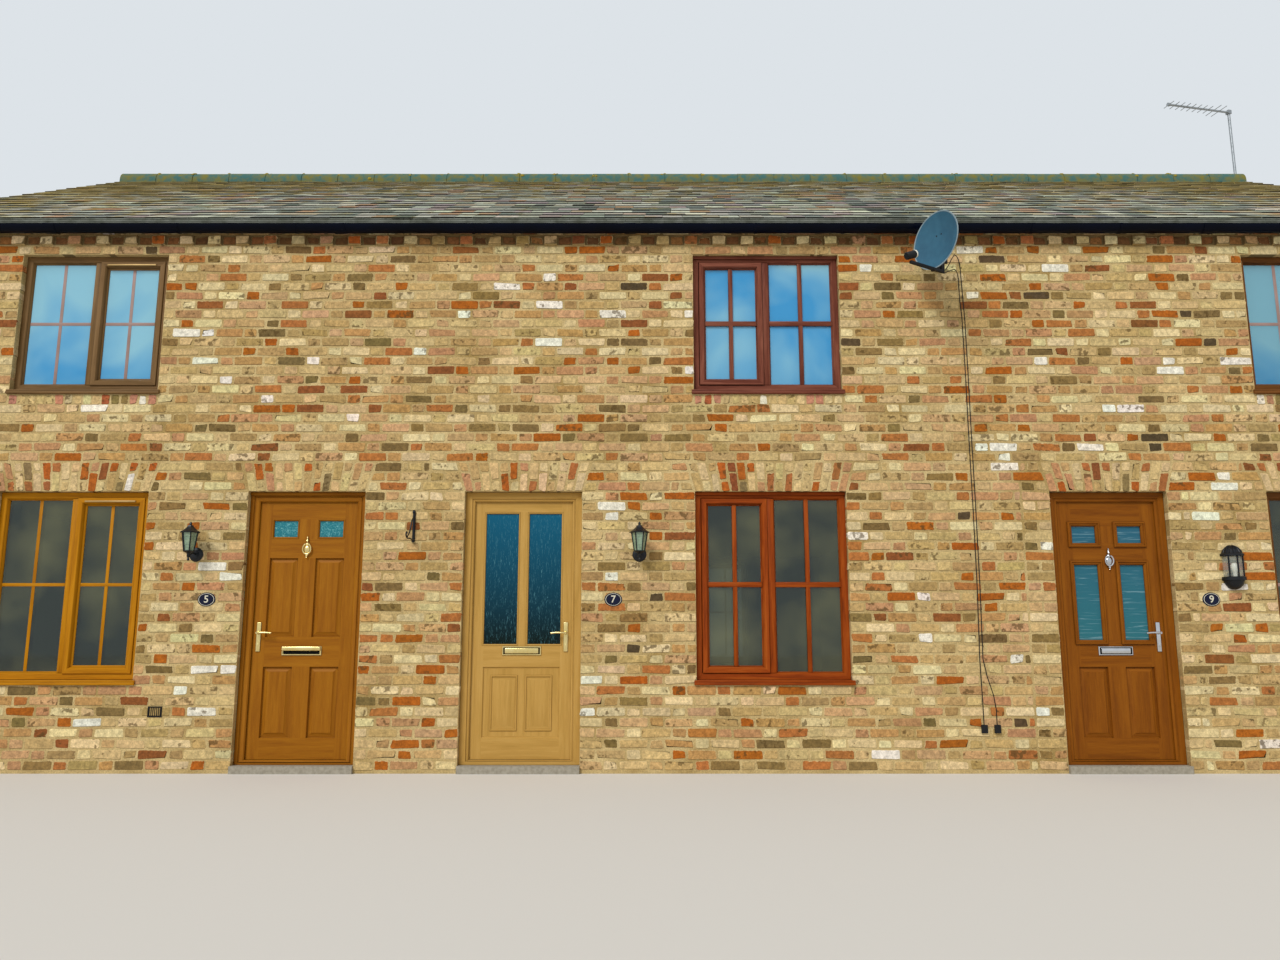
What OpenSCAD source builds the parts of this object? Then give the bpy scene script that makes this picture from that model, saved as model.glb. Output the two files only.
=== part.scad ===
// Row of three brick terraced houses with a slate roof, in millimetres.
// The street front faces -Y, +X runs to the right along it, and the origin
// is the middle of the footprint on the ground.

/* [Row] */
// Width of one house between party lines
house_w = 4500; // [4400:50:5200]
// Depth of the row from front face to rear face
house_d = 7300; // [6400:100:8600]
// Thickness of the outer walls
wall_t = 300; // [250:10:340]
// Thickness of the walls between the houses
party_t = 215; // [200:5:300]
// Thickness of the first floor
first_floor_t = 180; // [150:10:220]
// Height of the first floor's underside above the heads of the doors
floor_lift_h = 90; // [60:10:150]

/* [Brickwork] */
// Height of one brick course with its joint
course_h = 77; // [72:1:80]
// Height of the lowest bed joint above the ground
first_bed_h = 20; // [10:1:40]
// Depth of half a brick, of the arches and of the eaves courses
half_brick = 103; // [95:1:112]
// Length of one stretcher with its joint, which spaces the dentils
stretcher_pitch = 225; // [215:1:240]
// Courses from the lowest bed joint to the heads of doors and lower windows
door_head_courses = 27; // [26:1:28]
// Courses in a flat arch
arch_courses = 3; // [2:1:4]
// Slope of the ends of a flat arch from upright
arch_splay = 15; // [8:1:20]
// Course on which the lower windows stand
lower_sill_course = 8; // [6:1:12]
// Course on which the upper windows stand
upper_sill_course = 37; // [35:1:40]
// Course at which the upper windows end
upper_head_course = 52; // [49:1:53]
// Plain courses between the upper windows and the dentils
frieze_courses = 1; // [1:1:3]
// How far the dentils stand out
dentil_out = 26; // [15:1:40]
// Width of a dentil
dentil_w = 103; // [90:1:115]
// How far the course over the dentils stands out
band_out = 30; // [18:1:45]

/* [Roof] */
// Slope of the roof
roof_pitch = 30.5; // [26:0.5:36]
// Thickness of the slates and battens, square to the slope
roof_t = 60; // [45:5:90]
// How far the slates run past the eaves course
eaves_over = 45; // [30:5:80]
// How far the roof runs past the end walls
verge_over = 60; // [20:5:90]
// Outer radius of the half round ridge tiles
ridge_r = 115; // [95:5:140]
// Height of the legs on which the ridge tiles are bedded
ridge_leg = 40; // [20:5:70]
// Thickness of the ridge tiles
ridge_t = 16; // [12:1:24]
// Gap in which the roof is bedded on the walls, and the ridge on the roof
roof_bed = 0.3; // [0.2:0.1:0.8]

/* [Rainwater] */
// Width of the half round gutters
gutter_w = 112; // [100:2:140]
// Thickness of the gutter wall
gutter_t = 4; // [3:0.5:8]
// Diameter of the downpipes
downpipe_d = 68; // [60:2:90]
// Distance of a downpipe from the end of the row
downpipe_inset = 220; // [160:10:400]
// Height of the foot of a downpipe
downpipe_foot_z = 40; // [20:5:120]

/* [Doorways] */
// Width of a door opening
door_w = 903; // [880:5:1000]
// Distance from the party line to the door opening
door_offset = 382; // [300:5:460]
// Height of the door step
step_h = 55; // [45:5:80]
// How far the step stands out in front of the wall
step_out = 30; // [10:5:80]
// Depth of the outer reveal in front of frames
reveal = 50; // [30:5:80]
// Depth of door and window frames
frame_d = 72; // [68:1:90]
// Width of the face of a door frame
door_face = 62; // [50:1:75]
// Height of the bar at the foot of a door frame
threshold_h = 30; // [20:1:40]
// Depth of the stop that a door closes against
stop_d = 20; // [15:1:22]
// Width of the stop
stop_w = 12; // [8:1:18]

/* [Doors] */
// Thickness of a door leaf
leaf_t = 44; // [38:1:46]
// Gap round a door leaf
leaf_gap = 7; // [6:0.5:9]
// Width of the stiles of the end houses' doors
end_stile_w = 116; // [95:1:130]
// Width of the rail up the middle of the end houses' doors
end_middle_w = 170; // [120:2:190]
// Width of the stiles of the middle house's door
middle_stile_w = 92; // [80:1:115]
// Width of the rail up the middle of the middle house's door
middle_middle_w = 84; // [70:2:120]
// Height of the lock levers above the foot of the leaf
lever_z = 930; // [880:5:980]
// Height of the letterboxes above the foot of the leaf
letterbox_z = 762; // [745:1:772]
// Height of the foot rail under the lower panels
foot_rail_h = 155; // [130:5:200]
// Height of the upper panels of the left door
upper_panel_h = 600; // [540:5:620]
// Height of the two lights at the top of the left door
left_light_h = 124; // [100:2:140]
// Height of the tall lights of the middle door
middle_light_h = 994; // [900:2:1010]
// Height of the two small lights at the top of the right door
right_light_h = 130; // [100:2:150]
// Height of the two tall lights of the right door
right_tall_h = 569; // [520:1:580]
// Depth of the panel sinkings in the leaf
sink_d = 6; // [3:0.5:10]
// Width of the sinking round a raised panel
sink_w = 22; // [14:1:30]
// Thickness of the sealed glass
glass_t = 20; // [14:1:28]
// Radius of a hinge knuckle
knuckle_r = 8; // [7:0.5:10]
// Radius of a hinge pin
hinge_pin_r = 4; // [3:0.5:5]
// Length of each hinge
hinge_l = 100; // [80:5:140]
// Play of a hinge knuckle round its pin and between knuckles
hinge_play = 0.3; // [0.2:0.1:0.6]

/* [Windows] */
// Width of a window opening
window_w = 1165; // [1100:5:1250]
// Distance from the party line to the windows of the end houses
end_window_offset = 2053; // [1950:5:2200]
// Distance from the party line to the windows of the middle house
middle_window_offset = 2153; // [2050:5:2250]
// Width of the face of a window frame
window_face = 50; // [40:1:70]
// Width of the face of an opening casement
casement_face = 44; // [35:1:55]
// How far a casement stands proud of its frame
casement_out = 10; // [5:1:16]
// Height of a window sill
sill_h = 38; // [25:1:60]
// How far a sill stands out from the wall
sill_out = 22; // [10:1:50]
// Height of the cap over the frames of the middle house
head_cap_h = 24; // [15:1:40]
// How far that cap stands out from its frame
head_cap_out = 22; // [10:1:40]

/* [Fittings] */
// Height of the middle of the coach lanterns
lantern_z = 1630; // [1550:5:1800]
// Height of the middle of the half lantern
half_lantern_z = 1515; // [1400:5:1700]
// Height of the middle of the number plates
plate_z = 1271; // [1150:5:1400]
// Width of a number plate
plate_w = 135; // [110:1:170]
// Height of a number plate
plate_h = 105; // [85:1:125]
// Height of the top of the hanging basket bracket
bracket_z = 1950; // [1800:5:2050]
// Reach of the hanging basket bracket
bracket_reach = 240; // [180:5:320]
// Height of the middle of the dish
dish_z = 3970; // [3900:5:4020]
// Width of the dish
dish_w = 460; // [400:5:480]
// Depth of the dish
dish_depth = 42; // [30:1:55]
// Height of the mast of the aerial above the roof
mast_rise = 1020; // [600:10:1200]
// Length of the boom of the aerial
boom_l = 880; // [800:10:1100]
// Length of the rods of the aerial
rod_l = 165; // [120:5:220]
// Diameter of the cables on the wall
cable_d = 7; // [6:0.5:9]

/* [Hidden] */
$fn = 48;

houses = 3;
row_w = houses * house_w;
front_y = -house_d / 2;
inner_y = front_y + wall_t;
end_x = row_w / 2;

// Heights that follow the courses
function bed(n) = first_bed_h + n * course_h;
door_head_z = bed(door_head_courses);
arch_top_z = bed(door_head_courses + arch_courses);
lower_sill_z = bed(lower_sill_course);
upper_sill_z = bed(upper_sill_course);
upper_head_z = bed(upper_head_course);
dentil_z = bed(upper_head_course + frieze_courses);
band_z = dentil_z + course_h;
band_top_z = band_z + course_h;

// The underside and the top of the front slope at a distance y, from 0 at the ridge
eaves_y = front_y - band_out - eaves_over;
verge_x = end_x + verge_over;
roof_t_upright = roof_t / cos(roof_pitch);
function under_roof(y) = band_top_z + tan(roof_pitch) * (y - front_y + band_out);
function slate_foot(y) = under_roof(y) + roof_bed;
function over_roof(y) = slate_foot(y) + roof_t_upright;

// Houses from left to right: the left one is handed the other way
hand = [-1, 1, 1];
party_line = [-house_w / 2, -house_w / 2, house_w / 2];
window_offset = [end_window_offset, middle_window_offset, end_window_offset];
door_x = [for (i = [0:2]) party_line[i] + hand[i] * (door_offset + door_w / 2)];
window_x = [for (i = [0:2]) party_line[i] + hand[i] * (window_offset[i] + window_w / 2)];

// Door frames and leaves, measured from the left foot of the opening
frame_y = front_y + reveal;
frame_h = door_head_z - step_h;
leaf_w = door_w - 2 * door_face - 2 * leaf_gap;
leaf_z = step_h + threshold_h + leaf_gap;
leaf_h = door_head_z - door_face - leaf_gap - leaf_z;
leaf_in_y = frame_y + frame_d;
leaf_out_y = leaf_in_y - leaf_t;
hinge_y = leaf_in_y + knuckle_r + 1;
hinge_x = [for (i = [0:2]) door_x[i] - hand[i] * (leaf_w + leaf_gap) / 2];
hinge_z = [for (f = [0.1, 0.5, 0.86]) leaf_z + f * leaf_h];

// Shapes that repeat
module run_x(x0, x1, section)
    translate([x0, 0, 0]) rotate([90, 0, 90]) linear_extrude(x1 - x0) polygon(section);

module plate_y(y0, depth)
    translate([0, y0 + depth, 0]) rotate([90, 0, 0]) linear_extrude(depth) children();

module box(x0, x1, y0, y1, z0, z1)
    translate([x0, y0, z0]) cube([x1 - x0, y1 - y0, z1 - z0]);

module ring_2d(w, h, face) difference() {
    square([w, h]);
    translate([face, face]) square([w - 2 * face, h - 2 * face]);
}

module to_rear() mirror([0, 1, 0]) children();

// Floors
module ground_floor_slab() color("gray")
    for (i = [-1:1])
        box(room_x0(i), room_x1(i), inner_y, -inner_y, 0, step_h);

function room_x0(i) = i * house_w - house_w / 2 + (i == -1 ? wall_t : party_t / 2);
function room_x1(i) = i * house_w + house_w / 2 - (i == 1 ? wall_t : party_t / 2);

module first_floor() color("peru")
    for (i = [-1:1])
        box(room_x0(i), room_x1(i), inner_y, -inner_y,
            door_head_z + floor_lift_h, door_head_z + floor_lift_h + first_floor_t);

// Walls
outer_section = [
    [front_y, 0], [inner_y, 0], [inner_y, under_roof(inner_y)],
    [front_y + half_brick, under_roof(front_y + half_brick)],
    [front_y + half_brick, dentil_z], [front_y, dentil_z],
];

cut_past = 50;

module opening(x, w, z0, z1)
    box(x - w / 2, x + w / 2, front_y - cut_past, inner_y + cut_past, z0, z1);

module window_openings()
    for (i = [0:2]) {
        opening(window_x[i], window_w, lower_sill_z, door_head_z);
        opening(window_x[i], window_w, upper_sill_z, upper_head_z);
    }

module flat_arch_2d(x, w) {
    rise = arch_top_z - door_head_z;
    spread = rise * tan(arch_splay);
    translate([x, door_head_z])
        polygon([[-w / 2, 0], [w / 2, 0], [w / 2 + spread, rise], [-w / 2 - spread, rise]]);
}

module arches()
    for (i = [0:2]) {
        plate_y(front_y, half_brick) flat_arch_2d(door_x[i], door_w);
        plate_y(front_y, half_brick) flat_arch_2d(window_x[i], window_w);
    }

module front_piece(x0, x1) color("tan") difference() {
    run_x(x0, x1, outer_section);
    window_openings();
    arches();
}

module over_door(i) color("tan") difference() {
    intersection() {
        run_x(door_x[i] - door_w / 2, door_x[i] + door_w / 2, outer_section);
        box(-end_x, end_x, front_y, inner_y, door_head_z, under_roof(inner_y));
    }
    arches();
}

module front_wall_left_bay() front_piece(-end_x, door_x[0] - door_w / 2);
module front_wall_pier() front_piece(door_x[0] + door_w / 2, door_x[1] - door_w / 2);
module front_wall_middle_bay() front_piece(door_x[1] + door_w / 2, door_x[2] - door_w / 2);
module front_wall_right_bay() front_piece(door_x[2] + door_w / 2, end_x);
module walls_over_doors() for (i = [0:2]) over_door(i);

module rear_wall() color("tan") to_rear() difference() {
    run_x(-end_x, end_x, outer_section);
    window_openings();
    for (i = [0:2]) opening(door_x[i], door_w, -cut_past, door_head_z);
    arches();
}

gable_section = [
    [inner_y, 0], [-inner_y, 0], [-inner_y, under_roof(inner_y)],
    [0, under_roof(0)], [inner_y, under_roof(inner_y)],
];

module left_gable_wall() color("tan") run_x(-end_x, -end_x + wall_t, gable_section);
module right_gable_wall() color("tan") run_x(end_x - wall_t, end_x, gable_section);
module party_walls() color("tan")
    for (x = [-house_w / 2, house_w / 2])
        run_x(x - party_t / 2, x + party_t / 2, gable_section);

module flat_arches() color("sandybrown") {
    arches();
    to_rear() arches();
}

// Eaves: dentils under a course that stands out, both bonded into the wall
dentils = floor((row_w - dentil_w) / stretcher_pitch);

module eaves_band() {
    top_in_y = front_y + half_brick;
    run_x(-end_x, end_x, [
        [front_y - band_out, band_z], [top_in_y, band_z],
        [top_in_y, under_roof(top_in_y)], [front_y - band_out, band_top_z],
    ]);
    box(-end_x, end_x, front_y, top_in_y, dentil_z, band_z);
    for (i = [0:dentils])
        translate([(i - dentils / 2) * stretcher_pitch - dentil_w / 2, front_y - dentil_out, dentil_z])
            cube([dentil_w, dentil_out + half_brick, band_z - dentil_z]);
}

module eaves_bands() color("tan") {
    eaves_band();
    to_rear() eaves_band();
}

// Roof
module slope() run_x(-verge_x, verge_x, [
    [eaves_y, slate_foot(eaves_y)], [0, slate_foot(0)],
    [0, over_roof(0)], [eaves_y, over_roof(eaves_y)],
]);

module front_roof_slope() color("dimgray") slope();
module rear_roof_slope() color("dimgray") to_rear() slope();

// Ridge tiles: half rounds on two legs, whose feet are cut to the slopes
ridge_z = over_roof(-ridge_r) + roof_bed + ridge_leg;

module arched_2d(r) {
    circle(r);
    translate([-r, -2 * ridge_r]) square([2 * r, 2 * ridge_r]);
}

module ridge_2d() difference() {
    arched_2d(ridge_r);
    arched_2d(ridge_r - ridge_t);
    translate([0, roof_bed - ridge_z]) polygon([
        [-2 * ridge_r, over_roof(-2 * ridge_r)], [0, over_roof(0)], [2 * ridge_r, over_roof(-2 * ridge_r)],
        [2 * ridge_r, over_roof(-4 * ridge_r)], [-2 * ridge_r, over_roof(-4 * ridge_r)],
    ]);
}

module ridge_tiles() color("dimgray")
    translate([-verge_x, 0, ridge_z]) rotate([90, 0, 90]) linear_extrude(2 * verge_x) ridge_2d();

// Gutters hang just under the slates on the face of the eaves course
gutter_y = front_y - band_out - gutter_w / 2;
gutter_top_z = under_roof(eaves_y) - 2;
gutter_r = gutter_w / 2;

module half_round(r) intersection() {
    circle(r);
    translate([-r, -r]) square([2 * r, r]);
}

module gutter_run() translate([-verge_x, gutter_y, gutter_top_z]) rotate([90, 0, 90]) {
    linear_extrude(2 * verge_x) difference() {
        half_round(gutter_r);
        circle(gutter_r - gutter_t);
    }
    linear_extrude(gutter_t) half_round(gutter_r);
    translate([0, 0, 2 * verge_x - gutter_t]) linear_extrude(gutter_t) half_round(gutter_r);
}

module gutters() color("black") {
    gutter_run();
    to_rear() gutter_run();
}

// A downpipe: outlet under the gutter, a slanting neck back to the wall, and the pipe
pipe_gap = 30;
pipe_y = front_y - pipe_gap - downpipe_d / 2;
neck_top_z = gutter_top_z - gutter_r;
outlet_l = 70;
outlet_play = 0.2;
neck_drop = 160;
clip_h = 30;
clip_w = 110;
clip_t = 5;
clip_zs = [for (f = [0.12, 0.5, 0.88]) f * (neck_top_z - outlet_l - neck_drop)];

module downpipe(x) {
    neck_foot_z = neck_top_z - outlet_l - neck_drop;
    difference() {
        translate([x, gutter_y, neck_top_z - outlet_l]) cylinder(h = outlet_l + gutter_r / 2, d = downpipe_d);
        translate([x, gutter_y, gutter_top_z]) rotate([0, 90, 0])
            cylinder(h = 2 * downpipe_d, r = gutter_r + outlet_play, center = true);
    }
    hull() {
        translate([x, gutter_y, neck_top_z - outlet_l]) cylinder(h = 1, d = downpipe_d, $fn = 24);
        translate([x, pipe_y, neck_foot_z]) cylinder(h = 1, d = downpipe_d, $fn = 24);
    }
    translate([x, pipe_y, downpipe_foot_z]) cylinder(h = neck_foot_z - downpipe_foot_z, d = downpipe_d);
    for (z = clip_zs) {
        translate([x, pipe_y, z]) cylinder(h = clip_h, d = downpipe_d + 2 * clip_t);
        box(x - pipe_gap / 2, x + pipe_gap / 2, pipe_y, front_y, z, z + clip_h);
        box(x - clip_w / 2, x + clip_w / 2, front_y - clip_t, front_y, z, z + clip_h);
    }
}

module downpipes() color("black")
    for (x = [-end_x + downpipe_inset, end_x - downpipe_inset]) {
        downpipe(x);
        to_rear() downpipe(x);
    }

// Doorways
module door_step(i) box(door_x[i] - door_w / 2, door_x[i] + door_w / 2,
    front_y - step_out, inner_y, 0, step_h);

module door_steps() color("darkgray")
    for (i = [0:2]) {
        door_step(i);
        to_rear() door_step(i);
    }

module door_frame(i) {
    x0 = door_x[i] - door_w / 2;
    translate([x0, 0, step_h]) {
        plate_y(frame_y, frame_d) difference() {
            square([door_w, frame_h]);
            translate([door_face, threshold_h])
                square([door_w - 2 * door_face, frame_h - door_face - threshold_h]);
        }
        plate_y(frame_y, stop_d) difference() {
            square([door_w, frame_h]);
            translate([door_face + stop_w, threshold_h])
                square([door_w - 2 * (door_face + stop_w), frame_h - door_face - stop_w - threshold_h]);
        }
    }
    for (z = hinge_z) frame_knuckles(i, z);
}

// A hinge: two knuckles and the pin on the frame, one knuckle on the leaf
knuckle_l = hinge_l / 3;

module frame_knuckles(i, z) {
    translate([hinge_x[i], hinge_y, z]) {
        cylinder(h = hinge_l, r = hinge_pin_r);
        cylinder(h = knuckle_l - hinge_play, r = knuckle_r);
        translate([0, 0, 2 * knuckle_l + hinge_play])
            cylinder(h = knuckle_l - hinge_play, r = knuckle_r);
    }
    x_jamb = hinge_x[i] - hand[i] * (leaf_gap / 2 + 12);
    for (dz = [0, 2 * knuckle_l + hinge_play])
        box(min(x_jamb, hinge_x[i]), max(x_jamb, hinge_x[i]), leaf_in_y, hinge_y,
            z + dz, z + dz + knuckle_l - hinge_play);
}

module leaf_knuckle(i, z) {
    x_leaf = hinge_x[i] + hand[i] * (leaf_gap / 2 + 12);
    difference() {
        union() {
            translate([hinge_x[i], hinge_y, z + knuckle_l]) cylinder(h = knuckle_l, r = knuckle_r);
            box(min(x_leaf, hinge_x[i]), max(x_leaf, hinge_x[i]), leaf_in_y, hinge_y,
                z + knuckle_l, z + 2 * knuckle_l);
        }
        translate([hinge_x[i], hinge_y, z]) cylinder(h = hinge_l, r = hinge_pin_r + hinge_play);
    }
}

module left_door_frame() color("goldenrod") door_frame(0);
module middle_door_frame() color("tan") door_frame(1);
module right_door_frame() color("saddlebrown") door_frame(2);

// Door leaves: a slab with lights cut through it and panels sunk in both faces.
// Lights and panels are [x, z, width, height] from the hinge foot of the leaf.
end_field_w = (leaf_w - 2 * end_stile_w - end_middle_w) / 2;
middle_field_w = (leaf_w - 2 * middle_stile_w - middle_middle_w) / 2;
rail_gap = 85;
low_panel_h = letterbox_z - rail_gap - foot_rail_h;
upper_panel_z = 899;
left_light_z = 1662;
middle_light_z = 847;
right_light_z = 1615;
right_tall_z = 877;
left_knocker_z = 1580;
right_knocker_z = 1490;
letterbox_w = [300, 295, 260];

function pair(z, h) = [
    [end_stile_w, z, end_field_w, h],
    [leaf_w - end_stile_w - end_field_w, z, end_field_w, h],
];
function wide_pair(z, h) = [
    [middle_stile_w, z, middle_field_w, h],
    [leaf_w - middle_stile_w - middle_field_w, z, middle_field_w, h],
];

low_panels = pair(foot_rail_h, low_panel_h);
door_lights = [
    pair(left_light_z, left_light_h),
    wide_pair(middle_light_z, middle_light_h),
    concat(pair(right_light_z, right_light_h), pair(right_tall_z, right_tall_h)),
];
door_panels = [
    concat(pair(upper_panel_z, upper_panel_h), low_panels),
    wide_pair(foot_rail_h, low_panel_h),
    low_panels,
];

module on_leaf(i)
    translate([door_x[i] - hand[i] * leaf_w / 2, 0, leaf_z])
        if (hand[i] > 0) children(); else mirror([1, 0, 0]) children();

module rect(r) translate([r[0], r[1]]) square([r[2], r[3]]);

module leaf(i) {
    on_leaf(i) difference() {
        box(0, leaf_w, leaf_out_y, leaf_in_y, 0, leaf_h);
        for (r = door_lights[i]) plate_y(leaf_out_y - sink_d, leaf_t + 2 * sink_d) rect(r);
        for (r = door_panels[i], y = [leaf_out_y - sink_d, leaf_in_y - sink_d])
            plate_y(y, 2 * sink_d) difference() {
                rect(r);
                translate([r[0] + sink_w, r[1] + sink_w]) square([r[2] - 2 * sink_w, r[3] - 2 * sink_w]);
            }
    }
    for (z = hinge_z) leaf_knuckle(i, z);
}

module leaf_glass(i) on_leaf(i)
    for (r = door_lights[i]) plate_y(leaf_out_y + (leaf_t - glass_t) / 2, glass_t) rect(r);

module left_door_leaf() color("goldenrod") leaf(0);
module middle_door_leaf() color("tan") leaf(1);
module right_door_leaf() color("saddlebrown") leaf(2);
module left_door_glass() color("lightcyan") leaf_glass(0);
module middle_door_glass() color("darkseagreen") leaf_glass(1);
module right_door_glass() color("lightcyan") leaf_glass(2);

// Door fittings: levers on long plates, letterbox and knocker
lock_inset = 50;
lever_plate_w = 34;
lever_plate_h = 220;
lever_plate_up = 80;
lever_plate_t = 8;
lever_l = 110;
lever_d = 15;
lever_neck_d = 18;
lever_out = 42;
letterbox_h = 68;
letterbox_rim = 14;
letterbox_cheek = 25;
flap_t = 6;
knocker_ring_r = 32;
knocker_rod_d = 12;
knocker_boss_d = 40;
knocker_boss_t = 22;
striker_d = 24;

// A lever on the face y_face of the leaf, where out is -1 towards the street and 1 indoors
module lever(y_face, out) {
    plate_y(out > 0 ? y_face : y_face - lever_plate_t, lever_plate_t)
        translate([leaf_w - lock_inset - lever_plate_w / 2, lever_z + lever_plate_up - lever_plate_h])
            square([lever_plate_w, lever_plate_h]);
    translate([leaf_w - lock_inset, y_face, lever_z]) rotate([out > 0 ? -90 : 90, 0, 0])
        cylinder(h = lever_out + lever_d / 2, d = lever_neck_d);
    translate([leaf_w - lock_inset - lever_l, y_face + out * lever_out, lever_z]) rotate([0, 90, 0])
        cylinder(h = lever_l, d = lever_d);
}

module letterbox(w) {
    x0 = (leaf_w - w) / 2;
    plate_y(leaf_out_y - lever_plate_t, lever_plate_t)
        translate([x0, letterbox_z]) square([w, letterbox_h]);
    plate_y(leaf_out_y - lever_plate_t - flap_t, flap_t)
        translate([x0 + letterbox_cheek, letterbox_z + letterbox_rim])
            square([w - 2 * letterbox_cheek, letterbox_h - 2 * letterbox_rim]);
}

module knocker(z) translate([leaf_w / 2, leaf_out_y, z]) rotate([90, 0, 0]) {
    cylinder(h = knocker_boss_t, d = knocker_boss_d);
    translate([0, -knocker_ring_r, knocker_boss_t - knocker_rod_d / 3])
        rotate_extrude() translate([knocker_ring_r, 0]) circle(d = knocker_rod_d);
    translate([0, -2 * knocker_ring_r, 0]) cylinder(h = knocker_boss_t, d = striker_d);
}

module fittings(i) {
    lever(leaf_out_y, -1);
    lever(leaf_in_y, 1);
    letterbox(letterbox_w[i]);
}

module left_door_fittings() color("gold") on_leaf(0) {
    fittings(0);
    knocker(left_knocker_z);
}

module middle_door_fittings() color("gold") on_leaf(1) fittings(1);

module right_door_fittings() color("silver") on_leaf(2) {
    fittings(2);
    knocker(right_knocker_z);
}

// Windows: a frame with a mullion, one fixed light and one casement
light_w = (window_w - 3 * window_face) / 2;

module window_frame(i, z0, z1, casement_first, to_sill) {
    h = z1 - z0 - to_sill;
    cx = casement_first ? window_face : 2 * window_face + light_w;
    translate([window_x[i] - window_w / 2, 0, z0 + to_sill]) {
        plate_y(frame_y, frame_d) difference() {
            square([window_w, h]);
            for (x = [window_face, 2 * window_face + light_w])
                translate([x, window_face]) square([light_w, h - 2 * window_face]);
        }
        translate([cx, 0, window_face])
            plate_y(frame_y - casement_out, frame_d) ring_2d(light_w, h - 2 * window_face, casement_face);
        box(0, window_w, front_y - sill_out, frame_y + frame_d, -to_sill, 0);
    }
}

module window_panes(i, z0, z1, casement_first, to_sill) {
    h = z1 - z0 - to_sill;
    for (k = [0, 1]) {
        edge = (k == 0) == casement_first ? casement_face : 0;
        translate([window_x[i] - window_w / 2 + window_face + k * (window_face + light_w) + edge, 0,
            z0 + to_sill + window_face + edge])
            plate_y(frame_y + (frame_d - glass_t) / 2, glass_t)
                square([light_w - 2 * edge, h - 2 * window_face - 2 * edge]);
    }
}

casement_left = [false, true, false];

module house_windows(i) {
    window_frame(i, lower_sill_z, door_head_z, casement_left[i], sill_h);
    window_frame(i, upper_sill_z, upper_head_z, casement_left[i], sill_h);
}

module head_cap(i, head_z) box(window_x[i] - window_w / 2, window_x[i] + window_w / 2,
    frame_y - head_cap_out, frame_y, head_z - head_cap_h, head_z);

module house_panes(i) {
    window_panes(i, lower_sill_z, door_head_z, casement_left[i], sill_h);
    window_panes(i, upper_sill_z, upper_head_z, casement_left[i], sill_h);
}

module left_house_windows() color("goldenrod") house_windows(0);
module middle_house_windows() color("firebrick") {
    house_windows(1);
    head_cap(1, door_head_z);
    head_cap(1, upper_head_z);
}
module right_house_windows() color("saddlebrown") house_windows(2);
module front_window_glass() color("lightcyan") for (i = [0:2]) house_panes(i);
module rear_windows() color("saddlebrown") to_rear() for (i = [0:2]) house_windows(i);
module rear_window_glass() color("lightcyan") to_rear() for (i = [0:2]) house_panes(i);

// Back doors: each one closed, as one boarded leaf in its frame
module rear_doors() color("saddlebrown") to_rear()
    for (i = [0:2]) translate([door_x[i] - door_w / 2, 0, step_h]) {
        plate_y(frame_y, frame_d) ring_2d(door_w, frame_h, door_face);
        plate_y(leaf_out_y, leaf_t) translate([door_face, door_face])
            square([door_w - 2 * door_face, frame_h - 2 * door_face]);
    }

// Lanterns: two six-sided coach lanterns, and a half lantern on the right
lantern_from_window = [403, 427, 321];
lantern_x = [window_x[0] + window_w / 2 + lantern_from_window[0],
    window_x[1] - window_w / 2 - lantern_from_window[1],
    window_x[2] - window_w / 2 - lantern_from_window[2]];
lantern_reach = 130;
backplate_r = 54;
backplate_t = 18;
backplate_up = 20;
arm_w = 16;
cage_foot_r = 38;
cage_head_r = 62;
cage_h = 140;
cage_tip_h = 72;
cage_tip_r = 12;
cage_sill_r = 34;
cage_sill_h = 12;
cage_tip_down = 78;
hood_r = 72;
hood_rim_h = 8;
hood_h = 47;
hood_top_r = 20;
finial_r = 12;
finial_h = 30;

module coach_lantern(x, z) translate([x, front_y, z]) {
    translate([0, 0, -backplate_up]) rotate([90, 0, 0]) cylinder(h = backplate_t, r = backplate_r);
    box(-arm_w / 2, arm_w / 2, -lantern_reach, 0, -backplate_up - arm_w / 2, -backplate_up + arm_w / 2);
    translate([0, -lantern_reach, -cage_tip_down]) {
        cylinder(h = cage_tip_h, r = cage_tip_r);
        translate([0, 0, cage_tip_h - cage_sill_h]) cylinder(h = cage_sill_h, r = cage_sill_r, $fn = 6);
        translate([0, 0, cage_tip_h]) cylinder(h = cage_h, r1 = cage_foot_r, r2 = cage_head_r, $fn = 6);
        translate([0, 0, cage_tip_h + cage_h]) {
            cylinder(h = hood_rim_h, r = hood_r, $fn = 6);
            translate([0, 0, hood_rim_h]) cylinder(h = hood_h, r1 = cage_head_r, r2 = hood_top_r, $fn = 6);
            translate([0, 0, hood_rim_h + hood_h]) cylinder(h = finial_h, r = finial_r);
        }
    }
}

half_lantern_w = 175;
half_lantern_in = 0.86;
half_lantern_stem = 0.34;
half_lantern_crown = 0.17;
half_lantern_foot_h = 69;
half_lantern_low_rim_h = 27;
half_lantern_glass_h = 155;
half_lantern_rim_h = 20;
half_lantern_dome_h = 69;
half_lantern_h = half_lantern_foot_h + half_lantern_low_rim_h + half_lantern_glass_h + half_lantern_rim_h
    + half_lantern_dome_h;

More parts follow.
